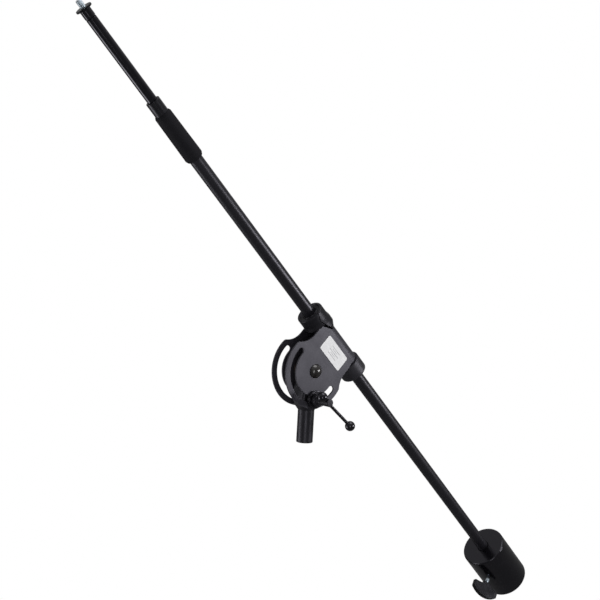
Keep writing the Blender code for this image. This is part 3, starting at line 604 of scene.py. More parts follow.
def fold_tree():
    """Bends a flat blank round the boom: X runs along the boom, Y across the blank, Z through the sheet."""
    t = Tree("fold_the_blank", [("Inner Radius", "Float"), ("Middle Radius", "Float"), ("Boom Offset", "Float")])
    inner, middle, offset = (t.given[name] for name in ("Inner Radius", "Middle Radius", "Boom Offset"))
    along, width, depth = t.add("ShaderNodeSeparateXYZ", t.add("GeometryNodeInputPosition")).node.outputs
    reach = t.math("ABSOLUTE", width)
    quarter = t.math("MULTIPLY", middle, math.pi / 2)
    bend = t.math("DIVIDE", t.math("MINIMUM", reach, quarter), middle)
    radius = t.math("ADD", inner, depth)
    straight = t.math("MAXIMUM", t.math("SUBTRACT", reach, quarter), 0.0)
    x = t.math("SUBTRACT", straight, t.math("ADD", offset, t.math("MULTIPLY", radius, t.math("COSINE", bend))))
    side = t.math("MULTIPLY", t.math("SIGN", width), -1.0)
    y = t.math("MULTIPLY", side, t.math("MULTIPLY", radius, t.math("SINE", bend)))
    spot = t.add("ShaderNodeCombineXYZ", x, y, along)
    return t.finish(t.add("GeometryNodeSetPosition", t.given["Geometry"], named={"Position": spot}))


def rules_tree():
    """Plain printed rules: thin bars in a row, of lengths that vary with a fixed seed."""
    t = Tree("printed_rules", [("Count", "Int"), ("Spacing", "Float"), ("Length", "Float"), ("Width", "Float"),
                               ("Thickness", "Float")])
    step = t.add("ShaderNodeCombineXYZ", 0.0, t.given["Spacing"], 0.0)
    row = t.add("GeometryNodeMeshLine", named={"Count": t.given["Count"], "Offset": step})
    whole = t.add("ShaderNodeCombineXYZ", t.given["Length"], t.given["Width"], t.given["Thickness"])
    bar = t.add("GeometryNodeMeshCube", named={"Size": whole})
    stretch = t.tree.nodes.new("FunctionNodeRandomValue")
    stretch.data_type = "FLOAT"
    shortest, longest = (socket for socket in stretch.inputs if socket.type == "VALUE" and socket.enabled)
    shortest.default_value, longest.default_value = 0.35, 1.0
    stretch.inputs["Seed"].default_value = 4
    lengths = next(socket for socket in stretch.outputs if socket.type == "VALUE" and socket.enabled)
    scale = t.add("ShaderNodeCombineXYZ", lengths, 1.0, 1.0)
    return t.finish(t.add("GeometryNodeInstanceOnPoints", row, named={"Instance": bar, "Scale": scale}))


def thread_piece(name, core, crest, pitch, length, where, finish, body, replaced, slot, taper=0.0010, steps=32):
    """A threaded rod that starts at the place given and runs along its Z."""
    if "thread" not in TREES:
        TREES["thread"] = thread_tree()
    thread = grown(TREES["thread"], bpy.data.meshes.new("start"), core_radius=core, crest_radius=crest,
                   pitch=pitch, length=length, end_taper=taper, steps_a_turn=steps, material=FINISH[finish])
    piece(name, thread, where, finish, body, replaced, slot, sharp=50)


# Finishes

class Finish:
    """A material under construction on the Principled shader."""

    def __init__(self, name, **fixed):
        self.material = bpy.data.materials.new(name)
        self.material.use_nodes = True
        self.tree = self.material.node_tree
        self.shader = self.tree.nodes["Principled BSDF"]
        for key, value in fixed.items():
            self.shader.inputs[key.replace("_", " ")].default_value = value
        self.place = self.tree.nodes.new("ShaderNodeTexCoord").outputs["Object"]

    def add(self, kind, inputs=(), out=0, **settings):
        return node(self.tree, kind, inputs, out, **settings)

    def math(self, kind, first, second):
        return self.add("ShaderNodeMath", {0: first, 1: second}, operation=kind)

    def noise(self, scale, detail=3.0, rough=0.5, vector=None):
        return self.add("ShaderNodeTexNoise", {"Vector": vector or self.place, "Scale": scale, "Detail": detail,
                                               "Roughness": rough})

    def drawn_out(self, where, scale, detail, rough):
        """Noise with a scale of its own along each axis of a piece's own frame."""
        turn = where.inverted().to_3x3().to_euler()
        vector = self.add("ShaderNodeMapping", {"Vector": self.place, "Rotation": turn, "Scale": scale},
                          vector_type="POINT")
        return self.noise(1.0, detail, rough, vector)

    def ranged(self, value, low, high, start=NOISE_LOW, end=NOISE_HIGH):
        """A value carried from the span of start to end over to that of low to high."""
        return self.add("ShaderNodeMapRange", {"Value": value, "From Min": start, "From Max": end,
                                               "To Min": low, "To Max": high})

    def around(self, value, middle, spread):
        """Noise carried over to a spread on both sides of a middle."""
        return self.ranged(value, middle - spread, middle + spread)

    def edge_wear_and_highlight(self, radius):
        """1 on outer edges, 0 on flats, from how far the rounded normal leans from the true one; the finishes
        lighten their colour by it, for wear and for a painted edge highlight.
        """
        edge_lean, flat_lean = 0.80, 0.99
        soft = self.add("ShaderNodeBevel", {"Radius": radius}, samples=4)
        true = self.add("ShaderNodeNewGeometry", out=1)
        lean = self.add("ShaderNodeVectorMath", {0: soft, 1: true}, out=1, operation="DOT_PRODUCT")
        return self.ranged(lean, 1.0, 0.0, edge_lean, flat_lean)

    def shade(self, dark, light, value):
        """Colour between two tones."""
        mixed = self.add("ShaderNodeMix", {0: value, 6: (*dark, 1), 7: (*light, 1)}, out=2, data_type="RGBA")
        self.tree.links.new(mixed, self.shader.inputs["Base Color"])

    def rough(self, value):
        self.tree.links.new(value, self.shader.inputs["Roughness"])

    def bump(self, height, depth, strength=1.0):
        bumped = self.add("ShaderNodeBump", {"Height": height, "Distance": depth, "Strength": strength})
        self.tree.links.new(bumped, self.shader.inputs["Normal"])


def lighter(tone, factor):
    return tuple(min(part * factor, 1.0) for part in tone)


def painted(name, tone, roughness, specular, peel=700.0, depth=0.00002, edge=0.0006, tint=COOL):
    """Stoved paint: a fine orange peel, cloudy roughness, and edges painted a little lighter, partly paint wear
    and partly a painted edge highlight.
    """
    f = Finish(name, Specular_Tint=tint, Specular_IOR_Level=specular)
    cloud = f.noise(38.0, detail=4.0, rough=0.55)
    fine = f.noise(peel, detail=2.0)
    # Lighter edges: paint wear and a painted edge highlight.
    rubbed_and_highlit = f.math("MULTIPLY", f.edge_wear_and_highlight(edge), f.ranged(cloud, 0.0, 1.0, 0.35, 0.65))
    f.shade(tone, lighter(tone, 2.2), f.math("MAXIMUM", f.ranged(cloud, 0.0, 0.22), rubbed_and_highlit))
    f.rough(f.math("ADD", f.around(cloud, roughness, 0.05), f.math("MULTIPLY", rubbed_and_highlit, -0.08)))
    f.bump(f.math("ADD", fine, f.math("MULTIPLY", cloud, 0.6)), depth)
    return f.material


def drawn_tube(name, tone, roughness, specular, depth=0.000003):
    """Paint over a drawn tube: faint streaks along it and handling marks round it."""
    f = Finish(name, Specular_Tint=COOL, Specular_IOR_Level=specular)
    streaks = f.drawn_out(BOOM, (420.0, 420.0, 6.0), detail=3.0, rough=0.6)
    marks = f.drawn_out(BOOM, (9.0, 9.0, 55.0), detail=2.0, rough=0.5)
    peel = f.noise(900.0, detail=2.0)
    f.shade(tone, lighter(tone, 1.5), f.ranged(streaks, 0.0, 1.0, 0.35, 0.65))
    f.rough(f.math("ADD", f.around(streaks, roughness, 0.02), f.around(marks, 0.0, 0.015)))
    f.bump(f.math("ADD", streaks, f.math("MULTIPLY", peel, 0.3)), depth)
    return f.material


def moulded(name, tone, roughness, specular, depth=0.00003):
    """Moulded plastic with a spark-eroded grain."""
    f = Finish(name, Specular_Tint=COOL, Specular_IOR_Level=specular)
    cells = f.add("ShaderNodeTexVoronoi", {"Vector": f.place, "Scale": 1300.0})
    fine = f.noise(2600.0, detail=2.0)
    cloud = f.noise(60.0)
    # Lighter edges: wear of the plastic and a painted edge highlight.
    worn_and_highlit = f.math("MULTIPLY", f.edge_wear_and_highlight(0.0006), 0.7)
    f.shade(tone, lighter(tone, 1.9), f.math("MAXIMUM", f.ranged(cloud, 0.0, 0.3), worn_and_highlit))
    f.rough(f.around(cloud, roughness, 0.05))
    f.bump(f.math("ADD", cells, fine), depth)
    return f.material


def rubber_sleeve(name, tone):
    """Matt rubber with a fine stipple."""
    f = Finish(name, Specular_Tint=COOL, Specular_IOR_Level=0.16)
    stipple = f.add("ShaderNodeTexVoronoi", {"Vector": f.place, "Scale": 1700.0})
    cloud = f.noise(90.0, detail=4.0)
    f.shade(tone, lighter(tone, 1.8), f.ranged(cloud, 0.0, 1.0))
    f.rough(f.ranged(cloud, 0.66, 0.84))
    f.bump(f.math("ADD", stipple, cloud), depth=0.00006)
    return f.material


def plated(name, tone, roughness, where):
    """Zinc plating over turned steel: fine turning marks and a cloudy sheen."""
    f = Finish(name, Metallic=1.0)
    marks = f.drawn_out(where, (60.0, 60.0, 2400.0), detail=3.0, rough=0.6)
    cloud = f.noise(160.0, detail=4.0)
    f.shade(lighter(tone, 0.72), lighter(tone, 1.12), f.ranged(cloud, 0.0, 1.0))
    f.rough(f.math("ADD", f.ranged(cloud, roughness - 0.06, roughness + 0.08), f.around(marks, 0.0, 0.05)))
    f.bump(marks, depth=0.00001, strength=0.4)
    return f.material


def enamelled_iron(name, tone):
    """Black enamel over a turned casting: soft waves from the casting under a fine peel, and a rim painted
    lighter, for wear of the enamel and a painted rim highlight.
    """
    f = Finish(name, Specular_Tint=COOL, Specular_IOR_Level=0.5)
    waves = f.noise(55.0)
    turning = f.drawn_out(BOOM, (4.0, 4.0, 420.0), detail=2.0, rough=0.5)
    peel = f.noise(820.0, detail=2.0)
    # Lighter rim: wear of the enamel and a painted rim highlight.
    worn_and_highlit = f.math("MULTIPLY", f.edge_wear_and_highlight(0.0012), f.ranged(waves, 0.2, 1.0, 0.4, 0.6))
    f.shade(tone, lighter(tone, 2.4), f.math("MAXIMUM", f.ranged(waves, 0.0, 0.3), worn_and_highlit))
    f.rough(f.ranged(waves, 0.12, 0.20))
    fine = f.math("ADD", peel, f.math("MULTIPLY", turning, 0.8))
    f.bump(f.math("ADD", f.math("MULTIPLY", waves, 1.6), fine), depth=0.00002)
    return f.material


def label_film(name, tone):
    """White printed film: a trace of fibre and a soft gloss."""
    f = Finish(name, Specular_IOR_Level=0.3)
    fibre = f.drawn_out(TILT, (500.0, 500.0, 1600.0), detail=4.0, rough=0.6)
    f.shade(lighter(tone, 0.94), tone, f.ranged(fibre, 0.0, 1.0))
    f.rough(f.ranged(f.noise(70.0), 0.42, 0.56))
    f.bump(fibre, depth=0.00001)
    return f.material


def plain_solid(name, tone, roughness, grain, metal=0.0, depth=0.00003):
    """Pieces held inside: fibre, nylon and bronze, each with its own grain."""
    f = Finish(name, Metallic=metal)
    fine = f.noise(grain, detail=4.0, rough=0.6)
    cloud = f.noise(90.0)
    f.shade(lighter(tone, 0.70), lighter(tone, 1.15), f.math("MULTIPLY", f.math("ADD", fine, cloud), 0.5))
    f.rough(f.around(cloud, roughness, 0.08))
    f.bump(fine, depth)
    return f.material


def make_finishes(f):
    """All the finishes by name."""
    smooth = {"peel": 900.0, "depth": 0.000008, "edge": 0.0004}
    return {
        "sheet_paint": painted("sheet_paint", f.sheet_paint, 0.50, 0.53),
        "cast_paint": painted("cast_paint", f.cast_paint, 0.38, 0.4, peel=420.0),
        "gloss_black": painted("gloss_black", f.gloss_black, 0.16, 0.5, **smooth),
        "nose": painted("nose_black", f.gloss_black, 0.33, 0.35, **smooth),
        "tube_paint": drawn_tube("tube_paint", f.tube_paint, 0.37, 0.45),
        "inner_paint": drawn_tube("inner_tube_paint", f.inner_paint, 0.17, 0.4, depth=0.000004),
        "plastic": moulded("black_plastic", f.plastic, 0.42, 0.25, depth=0.000015),
        "wing": moulded("wing_plastic", f.wing_plastic, 0.24, 0.14, depth=0.000005),
        "collar": moulded("collar_plastic", f.collar_plastic, 0.50, 0.5),
        "satin": painted("satin_black", f.satin_black, 0.27, 0.34, **smooth),
        "dome": painted("blackened_steel", f.blackened_steel, 0.25, 0.85, peel=900.0, depth=0.00001, edge=0.0004,
                        tint=WHITE),
        "rubber": rubber_sleeve("black_rubber", f.rubber),
        "iron": enamelled_iron("iron_enamel", f.iron_paint),
        "zinc_front": plated("zinc_plating", f.zinc, 0.34, PIVOT_FRONT),
        "zinc_boom": plated("bright_zinc", f.zinc, 0.36, BOOM),
        "zinc_screw": plated("screw_zinc", f.zinc, 0.26, SCREW),
        "label": label_film("label_film", f.label),
        "ink": plain_solid("rule_ink", f.ink, 0.5, 900.0),
        "nylon": plain_solid("white_nylon", f.nylon, 0.5, 700.0),
        "fibre": plain_solid("pressed_fibre", f.fibre, 0.8, 1500.0, depth=0.00008),
        "bronze": plain_solid("bronze", f.bronze, 0.35, 1200.0, metal=1.0),
    }


# Pieces

class FinishesOperator(bpy.types.Operator):
    """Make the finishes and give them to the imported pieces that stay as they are"""
    bl_idname = "swivel_arm.finishes"
    bl_label = "Finishes"

    def execute(self, context):
        FINISH.update(make_finishes(arm().finishes))
        kept = {
            "friction_disc_front": "fibre", "friction_disc_rear": "fibre", "pivot_bush": "bronze",
            # The liner takes the darker rubber finish as painted shade for the gap between collar and saddle
            # where it shows.
            "liner_tube": "rubber", "guide_bush": "nylon", "clutch_body": "gloss_black",
            "clutch_collet": "nylon", "inner_glide": "nylon", "weight_pad": "bronze",
        }
        for name, finish in kept.items():
            mesh = frame["nodes"][name].data
            mesh.materials.clear()
            mesh.materials.append(FINISH[finish])
        return {"FINISHED"}


def stem_section(half_width, half_depth, corner, level):
    """A rounded rectangle at a level, which is a circle where the corner fills it."""
    corner_steps = 23
    points = []
    for side, (sx, sy) in enumerate(((1, 1), (-1, 1), (-1, -1), (1, -1))):
        start = side * math.pi / 2
        centre = (sx * (half_width - corner), sy * (half_depth - corner))
        points += arc(centre, corner, start, start + math.pi / 2, corner_steps)
    return [(x, y, level) for x, y in points]


class StemOperator(bpy.types.Operator):
    """Cast stem: a round spigot that widens to the lug between the cheeks"""
    bl_idname = "swivel_arm.stem"
    bl_label = "Stem"

    def execute(self, context):
        s = arm().stem
        radius, depth = s.spigot_radius, s.lug_half_depth
        flat = 0.00001
        chamfer, chamfer_steps = 0.0015, 6
        blend_steps, top_steps = 14, 16
        top_sweep, top_flat = math.radians(86), 0.0002
        bolt_hole, lock_hole, hole_past = 0.0083, 0.0053, 0.01
        recess, recess_past, recess_rise = 0.0018, 0.005, 0.006
        rings = []
        for step in range(chamfer_steps + 1):
            turn = math.pi / 2 * step / chamfer_steps
            reach = radius - chamfer * (1 - math.sin(turn))
            rings.append(stem_section(reach, reach, reach - flat, chamfer * (1 - math.cos(turn))))
        for part in (0.2, 0.4, 0.6, 0.8, 1.0):
            rings.append(stem_section(radius, radius, radius - flat, s.spigot_height * part))
        for step in range(1, blend_steps + 1):
            part = step / blend_steps
            eased = math.sin(part * math.pi / 2)
            rings.append(stem_section(
                radius + (s.lug_half_width - radius) * eased, radius + (depth - radius) * eased,
                radius - flat + (s.lug_corner - radius) * part,
                s.spigot_height + (s.lug_base - s.spigot_height) * part))
        for step in range(top_steps + 1):
            turn = top_sweep * step / top_steps
            half_width = s.lug_top_radius * math.cos(turn)
            corner = min(s.lug_corner * math.cos(turn), half_width - top_flat)
            rings.append(stem_section(half_width, depth, corner, PIVOT.z + s.lug_top_radius * math.sin(turn)))
        through = depth + hole_past
        cutters = [placed(rod(hole, -through, through), where)
                   for hole, where in ((bolt_hole, PIVOT_FRONT), (lock_hole, LOCK))]
        reach = s.lug_top_radius + recess_rise
        foot = -s.disc_radius - GAP
        outline = [(-reach, foot), (reach, foot), (reach, reach), (-reach, reach)]
        for levels in ((depth - recess, depth + recess_past), (-depth - recess_past, -depth + recess)):
            cutters.append(placed(loft([[(x, y, level) for x, y in outline] for level in levels]), PIVOT_FRONT))
        piece("cast_stem", carved(loft(rings), cutters), Matrix.Identity(4), "cast_paint", "stem",
              ["spigot_and_lug"], "satin_black_paint")
        return {"FINISHED"}


class PivotOperator(bpy.types.Operator):
    """Pivot: domed bolt, washer and lock nut with its nylon ring"""
    bl_idname = "swivel_arm.pivot"
    bl_label = "Pivot"

    def execute(self, context):
        s = arm().stem
        seat = arm().saddle.face + GAP
        shank, core, crest_gap, pitch = 0.0060, 0.0051, 0.00005, 0.00175
        thread_start, thread_past = 0.0005, 0.0015
        bore, washer_radius, washer_thickness = 0.0063, 0.012, 0.0015
        nut_apothem, nut_face, nut_height = 0.00944, 0.0093, 0.011
        crown_bore, crown_top, crown_radius, crown_height = 0.0066, 0.0078, 0.0088, 0.0035
        ring_bore, ring_radius, ring_depth = 0.0061, 0.0067, 0.0006
        zinc = ("zinc_front", "stem")
        slot = "zinc_plated_steel"

        sphere = (s.dome_radius ** 2 + s.dome_height ** 2) / (2 * s.dome_height)
        half = math.asin(s.dome_radius / sphere)
        steps = 20
        top = seat + s.dome_skirt + s.dome_height
        washer_low = -seat - washer_thickness
        nut_high = washer_low - GAP
        nut_low = nut_high - nut_height
        start = nut_high - thread_start
        dome = [(sphere * math.sin(half * k / steps), top - sphere * (1 - math.cos(half * k / steps)))
                for k in range(steps, 0, -1)]
        profile = [(0, start), (shank, start), (shank, seat), (s.dome_radius, seat), *dome, (0, top)]
        piece("pivot_dome_bolt", lathe(profile), PIVOT_FRONT, "dome", "stem", ["pivot_bolt"], "gloss_black_steel")
        down = PIVOT_FRONT @ Matrix.Translation((0, 0, start)) @ FLIPPED
        thread_piece("pivot_bolt_thread", core, shank - crest_gap, pitch, start - nut_low + thread_past, down,
                     *zinc, (), slot)
        washer = oblong(bore, washer_radius, washer_low, -seat, 0.0002, 0.0003, 0.0003, 0.0002)
        turned_piece("pivot_rear_washer", washer, PIVOT_FRONT, *zinc, ["pivot_washer"], slot, steps=3)
        hexagon = hexagon_piece(nut_apothem, -nut_high, -(nut_low + crown_height), nut_face, bore)
        crown = [(crown_bore, nut_low, 0.0002), (crown_top, nut_low, 0.0008),
                 (crown_radius, nut_low + 0.0016, 0.001), (crown_radius, nut_low + 0.006),
                 (crown_bore, nut_low + 0.006)]
        nut = joined(placed(hexagon, FLIPPED), lathe(rounded(crown, steps=4)))
        piece("pivot_nut", nut, PIVOT_FRONT, *zinc, ["pivot_lock_nut"], slot)
        ring = oblong(ring_bore, ring_radius, nut_low + ring_depth, nut_low + crown_height, 0.0003, 0, 0, 0)
        turned_piece("pivot_nut_ring", ring, PIVOT_FRONT, "nylon", "stem", (), "white_nylon", steps=3)
        return {"FINISHED"}


def blank_side(s, ear, sign, quarter):
    """One side of a cheek, from its ear's straight edge to the disc, in blank coordinates."""
    level = quarter + BOOM_OFFSET
    disc = Vector((0, level))
    waist = Vector((ear + s.waist_radius, level - s.waist_level))
    near = s.waist_radius + s.corner
    far = s.disc_radius - s.corner
    across = waist - disc
    span = across.length
    along = (far ** 2 - near ** 2 + span ** 2) / (2 * span)
    height = math.sqrt(far ** 2 - along ** 2)
    step = across.normalized()
    corner = disc + step * along + Vector((-step.y, step.x)) * height
    waist_end = math.atan2(*reversed(corner - waist))
    corner_end = math.atan2(*reversed(corner - disc))
    points = arc(waist, s.waist_radius, math.pi, waist_end, steps=24)
    points += arc(corner, s.corner, waist_end - math.pi, corner_end, steps=14)[1:]
    return [(sign * x, y) for x, y in points], corner_end


def saddle_blank(s):
    """The flat sheet with its slots and holes: X along the boom, Y across, Z from the inner face out."""
    neck_flat, neck_foot, neck_steps = 0.020, 0.0375, 36
    bolt_hole, edge_steps, bends = 0.0063, 3, 24
    middle = s.face - s.sheet / 2
    quarter = middle * math.pi / 2
    level = quarter + BOOM_OFFSET
    tail, tail_turn = blank_side(s, s.ear_tail, 1, quarter)
    tip, tip_turn = blank_side(s, s.ear_tip, -1, quarter)
    disc = arc((0, level), s.disc_radius, tail_turn, math.pi - tip_turn, steps=84)

    def neck(width):
        part = min(max((abs(width) - neck_flat) / (neck_foot - neck_flat), 0.0), 1.0)
        return -(s.neck + (s.ear_tip - s.neck) * part * part * (3 - 2 * part))

    upper = [(s.ear_tail, quarter)] + tail + disc[1:-1] + list(reversed(tip))
    lower = [(x, -y) for x, y in reversed(upper)]
    widths = [neck_foot * (1 - 2 * k / neck_steps) for k in range(neck_steps + 1)]
    outline = anticlockwise(upper + [(neck(width), width) for width in widths] + lower[1:])
    start, end = math.pi / 2 - s.slot_half_sweep, math.pi / 2 + s.slot_half_sweep
    near_end, far_end = ((SLOT_RADIUS * math.cos(turn), level + SLOT_RADIUS * math.sin(turn))
                         for turn in (start, end))
    slot = (arc((0, level), SLOT_RADIUS + s.slot_half_width, start, end, steps=72)
            + arc(far_end, s.slot_half_width, end, end + math.pi, steps=16)[1:]
            + arc((0, level), SLOT_RADIUS - s.slot_half_width, end, start, steps=60)[1:]
            + arc(near_end, s.slot_half_width, start - math.pi, start, steps=16)[1:-1])
    hole = arc((0, level), bolt_hole, 0, math.tau, steps=48)[:-1]
    openings = [list(reversed(anticlockwise([(x, sign * y) for x, y in opening])))
                for opening in (slot, hole) for sign in (1, -1)]
    bm = bmesh.new()
    under, over = [], []
    for loop in [outline] + openings:
        rings = [[bm.verts.new(point) for point in ring]
                 for ring in soft_edged(loop, 0.0, s.sheet, s.edge, edge_steps)]
        for first, second in zip(rings, rings[1:]):
            bridge(bm, first, second)
        under.append(rings[0])
        over.append(rings[-1])
    for loops in (under, over):
        flat = [vert for loop in loops for vert in loop]
        for triangle in tessellate_polygon([[vert.co.copy() for vert in loop] for loop in loops]):
            bm.faces.new([flat[index] for index in triangle])
    bmesh.ops.recalc_face_normals(bm, faces=bm.faces)
    for k in range(-bends, bends + 1):
        geometry = bm.verts[:] + bm.edges[:] + bm.faces[:]
        bmesh.ops.bisect_plane(bm, geom=geometry, dist=1e-6, plane_co=(0, quarter * k / bends, 0),
                               plane_no=(0, 1, 0))
    return as_mesh("blank", bm), middle


class SaddleOperator(bpy.types.Operator):
    """Folded saddle: the slotted blank bent round the boom by a node tree"""
    bl_idname = "swivel_arm.saddle"
    bl_label = "Saddle"

    def execute(self, context):
        s = arm().saddle
        blank, middle = saddle_blank(s)
        bent = grown(fold_tree(), blank, inner_radius=s.face - s.sheet, middle_radius=middle,
                     boom_offset=BOOM_OFFSET, material=FINISH["sheet_paint"])
        piece("folded_saddle", bent, TILT, "sheet_paint", "clamp", ["saddle"], "satin_black_paint")
        return {"FINISHED"}


class LabelOperator(bpy.types.Operator):
    """Label: a blank white film with rounded corners and a few plain rules"""
    bl_idname = "swivel_arm.label"
    bl_label = "Label"

    def execute(self, context):
        s = arm().saddle
        film_thickness, film_edge, rule_level, rule_thickness = 0.00045, 0.00012, 0.00046, 0.00004
        low, high = s.label_low - BOOM_OFFSET, s.label_high - BOOM_OFFSET
        outline = rounded(oblong(low, high, s.label_tip, s.label_tail, s.label_corner), steps=8)
        stand = s.face + GAP
        upright = TILT @ UPRIGHT
        film = slab(outline, stand, stand + film_thickness, film_edge, steps=2)
        piece("label_film", film, upright, "label", "clamp", ["label_plate"], "white_label")
        rules = grown(rules_tree(), bpy.data.meshes.new("start"), count=s.rule_count, spacing=s.rule_spacing,
                      length=s.rule_length, width=s.rule_width, thickness=rule_thickness, material=FINISH["ink"])
        start = (low + high) / 2 + s.rule_spacing * (s.rule_count - 1) / 2
        middle = Matrix.Translation((start, (s.label_tip + s.label_tail) / 2, stand + rule_level))
        piece("label_rules", rules, upright @ middle @ Matrix.Rotation(math.pi / 2, 4, "Z"), "ink", "clamp",
              slot="white_label")
        return {"FINISHED"}


def groove(line, radius, side, width):
    """A cutter that runs along a line on a round piece: pairs of place along it and height on its side."""
    rings = []
    past = 0.003
    outside, inside = radius + past, radius - width
    spots = [Vector((height, place)) for place, height in zip(line[::2], line[1::2])]
    for index, spot in enumerate(spots):
        way = (spots[min(index + 1, len(spots) - 1)] - spots[max(index - 1, 0)]).normalized()
        off = Vector((-way.y, way.x)) * width / 2
        ring = []
        for shift, reach in ((off, outside), (off, inside), (-off, inside), (-off, outside)):
            height, place = spot + shift
            turn = math.asin(height / radius)
            ring.append((-reach * math.sin(turn), side * reach * math.cos(turn), place))
        rings.append(ring)
    return loft(rings)


class CollarsOperator(bpy.types.Operator):
    """Moulded collars at both ends of the liner"""
    bl_idname = "swivel_arm.collars"
    bl_label = "Collars"

    def execute(self, context):
        b = arm().boom
        s = arm().saddle
        slip, cut_past = 0.0005, 0.005
        lip = b.tube_radius + slip
        inside = b.liner_radius + GAP
        head, end = b.collar_head, b.collar_tail
        neck = -(s.neck + GAP)
        step = -(s.ear_tip + 2 * GAP)
        slope_start, rim_start, rim_end, neck_radius = -0.0550, -0.0465, -0.0365, 0.0208
        outer = rounded([
            (lip, head + 0.0016, 0.0005), (lip + 0.0016, head + 0.0006, 0.0006), (0.0146, head + 0.0032, 0.0008),
            (0.0182, head + 0.0024, 0.0010), (0.0196, head, 0.0010), (b.collar_radius, head, 0.0036),
            (b.collar_radius, slope_start, 0.004), (b.collar_rim, rim_start, 0.003),
            (b.collar_rim, rim_end, 0.001), (neck_radius, neck, 0.0006), (inside, neck), (inside, step),
            (b.liner_bore, step), (b.liner_bore, b.bush_head - GAP), (lip, b.bush_head - GAP)], steps=6)
        reach = b.collar_rim + cut_past
        cutters = [loft([[(tongue, -reach, z), (reach, -reach, z), (reach, reach, z), (tongue, reach, z)]
                         for z, tongue in ((step, -b.hood_root), (neck + cut_past, -b.hood_end))])]
        for side in (-1, 1):
            cutters.append(groove(tuple(b.hood_line), b.collar_radius, side, b.hood_groove))
        piece("tip_collar", carved(lathe(outer, segments=120), cutters), BOOM, "plastic", "clamp",
              ["head_collar"], "black_moulded_plastic")
        tail = s.ear_tail + GAP
        outer = [
            (b.liner_bore, tail), (b.collar_radius, tail, 0.0006), (b.collar_radius, end, 0.0045),
            (0.0185, end, 0.0006), (0.0172, end - 0.0014, 0.0006), (lip + 0.0012, end - 0.0006, 0.0005),
            (lip, end - 0.0014, 0.0004), (lip, b.bush_tail + GAP), (b.liner_bore, b.bush_tail + GAP)]
        turned_piece("weight_end_collar", outer, BOOM, "collar", "clamp", ["tail_collar"],
                     "black_moulded_plastic", steps=6, segments=120)
        return {"FINISHED"}


class LockOperator(bpy.types.Operator):
    """Locking screw with its washers, the hub and the sliding bar with its balls"""
    bl_idname = "swivel_arm.lock"
    bl_label = "Lock"

    def execute(self, context):
        s = arm().lock
        face = arm().saddle.face
        head_apothem, head_face, head_height, head_seat = 0.0083, 0.0080, 0.0064, 0.0026
        core, crest_gap, pitch, overlap, sunk = 0.0042, 0.00005, 0.0015, 0.001, 0.003
        rear_radius, rear_thickness = 0.0125, 0.0023
        bar_past, bar_edge, drill_past, socket_depth, ball_steps = 0.0035, 0.0004, 0.005, 0.0042, 40
        bore = s.screw_radius + GAP
        zinc, black = "zinc_plated_steel", "gloss_black_steel"

        head_low = -(face + head_seat)
        head = placed(hexagon_piece(head_apothem, -head_low, -head_low + head_height, head_face), FLIPPED)
        shank = rod(s.screw_radius, head_low - sunk, face - overlap)
        piece("lock_bolt", joined(head, shank), LOCK, "zinc_front", "stem", ["lock_screw"], zinc)
        thread_piece("lock_bolt_thread", core, s.screw_radius - crest_gap, pitch, s.screw_end - face + overlap,
                     LOCK @ Matrix.Translation((0, 0, face - overlap)), "zinc_front", "stem", (), zinc)
        washer = oblong(bore, rear_radius, -face - rear_thickness, -face - GAP, 0.0002, 0.0004, 0.0004, 0.0002)
        turned_piece("lock_rear_washer", washer, LOCK, "zinc_front", "stem", ["lock_washer_rear"], zinc, steps=3)
        low = face + GAP
        high = low + s.washer_thickness
        washer = oblong(bore, s.washer_radius, low, high, 0.0002, 0.0006, 0.0009, 0.0003)
        turned_piece("lock_front_washer", washer, LOCK, "gloss_black", "stem", ["lock_washer_front"], black,
                     steps=4)
        low = high + GAP
        hub = lathe(rounded([
            (bore, low), (s.collar_radius, low, 0.0006), (s.collar_radius, s.collar_height, 0.0016),
            (s.hub_radius, s.collar_height + 0.0006, 0.0012), (s.hub_radius, s.hub_end, 0.0014), (0, s.hub_end),
            (0, s.screw_end + 0.002), (bore, s.screw_end + 0.001)], steps=6))
        along = (Matrix.Translation((0, 0, s.bar_height)) @ Matrix.Rotation(s.bar_angle, 4, "Z")
                 @ Matrix.Rotation(math.pi / 2, 4, "Y"))
        drill = s.bar_radius + GAP
        reach = s.hub_radius + drill_past
        piece("lever_hub_turned", carved(hub, [placed(rod(drill, -reach, reach), along)]), LOCK, "satin", "lever",
              ["lever_hub"], black)
        bar = LOCK @ along
        start = s.ball_near - bar_past
        side = oblong(0, s.bar_radius, start, start + s.bar_length, 0, bar_edge, bar_edge, 0)
        turned_piece("lever_rod", side, bar, "gloss_black", "bar", ["lever_bar"], black, steps=3, segments=48)
        closed = math.pi - math.asin(drill / s.ball_radius)
        for name, replaced, place, facing in (("ball_near", "lever_ball_near", s.ball_near, 1),
                                              ("ball_far", "lever_ball_far", s.ball_far, -1)):
            turns = [closed * k / ball_steps for k in range(ball_steps + 1)]
            shape = [(s.ball_radius * math.sin(turn), -facing * s.ball_radius * math.cos(turn)) for turn in turns]
            shape += [(drill, -facing * socket_depth), (0, -facing * socket_depth)]
            piece(name, lathe(shape, segments=80), bar @ Matrix.Translation((0, 0, place)), "gloss_black",
                  "bar", [replaced], black)
        return {"FINISHED"}


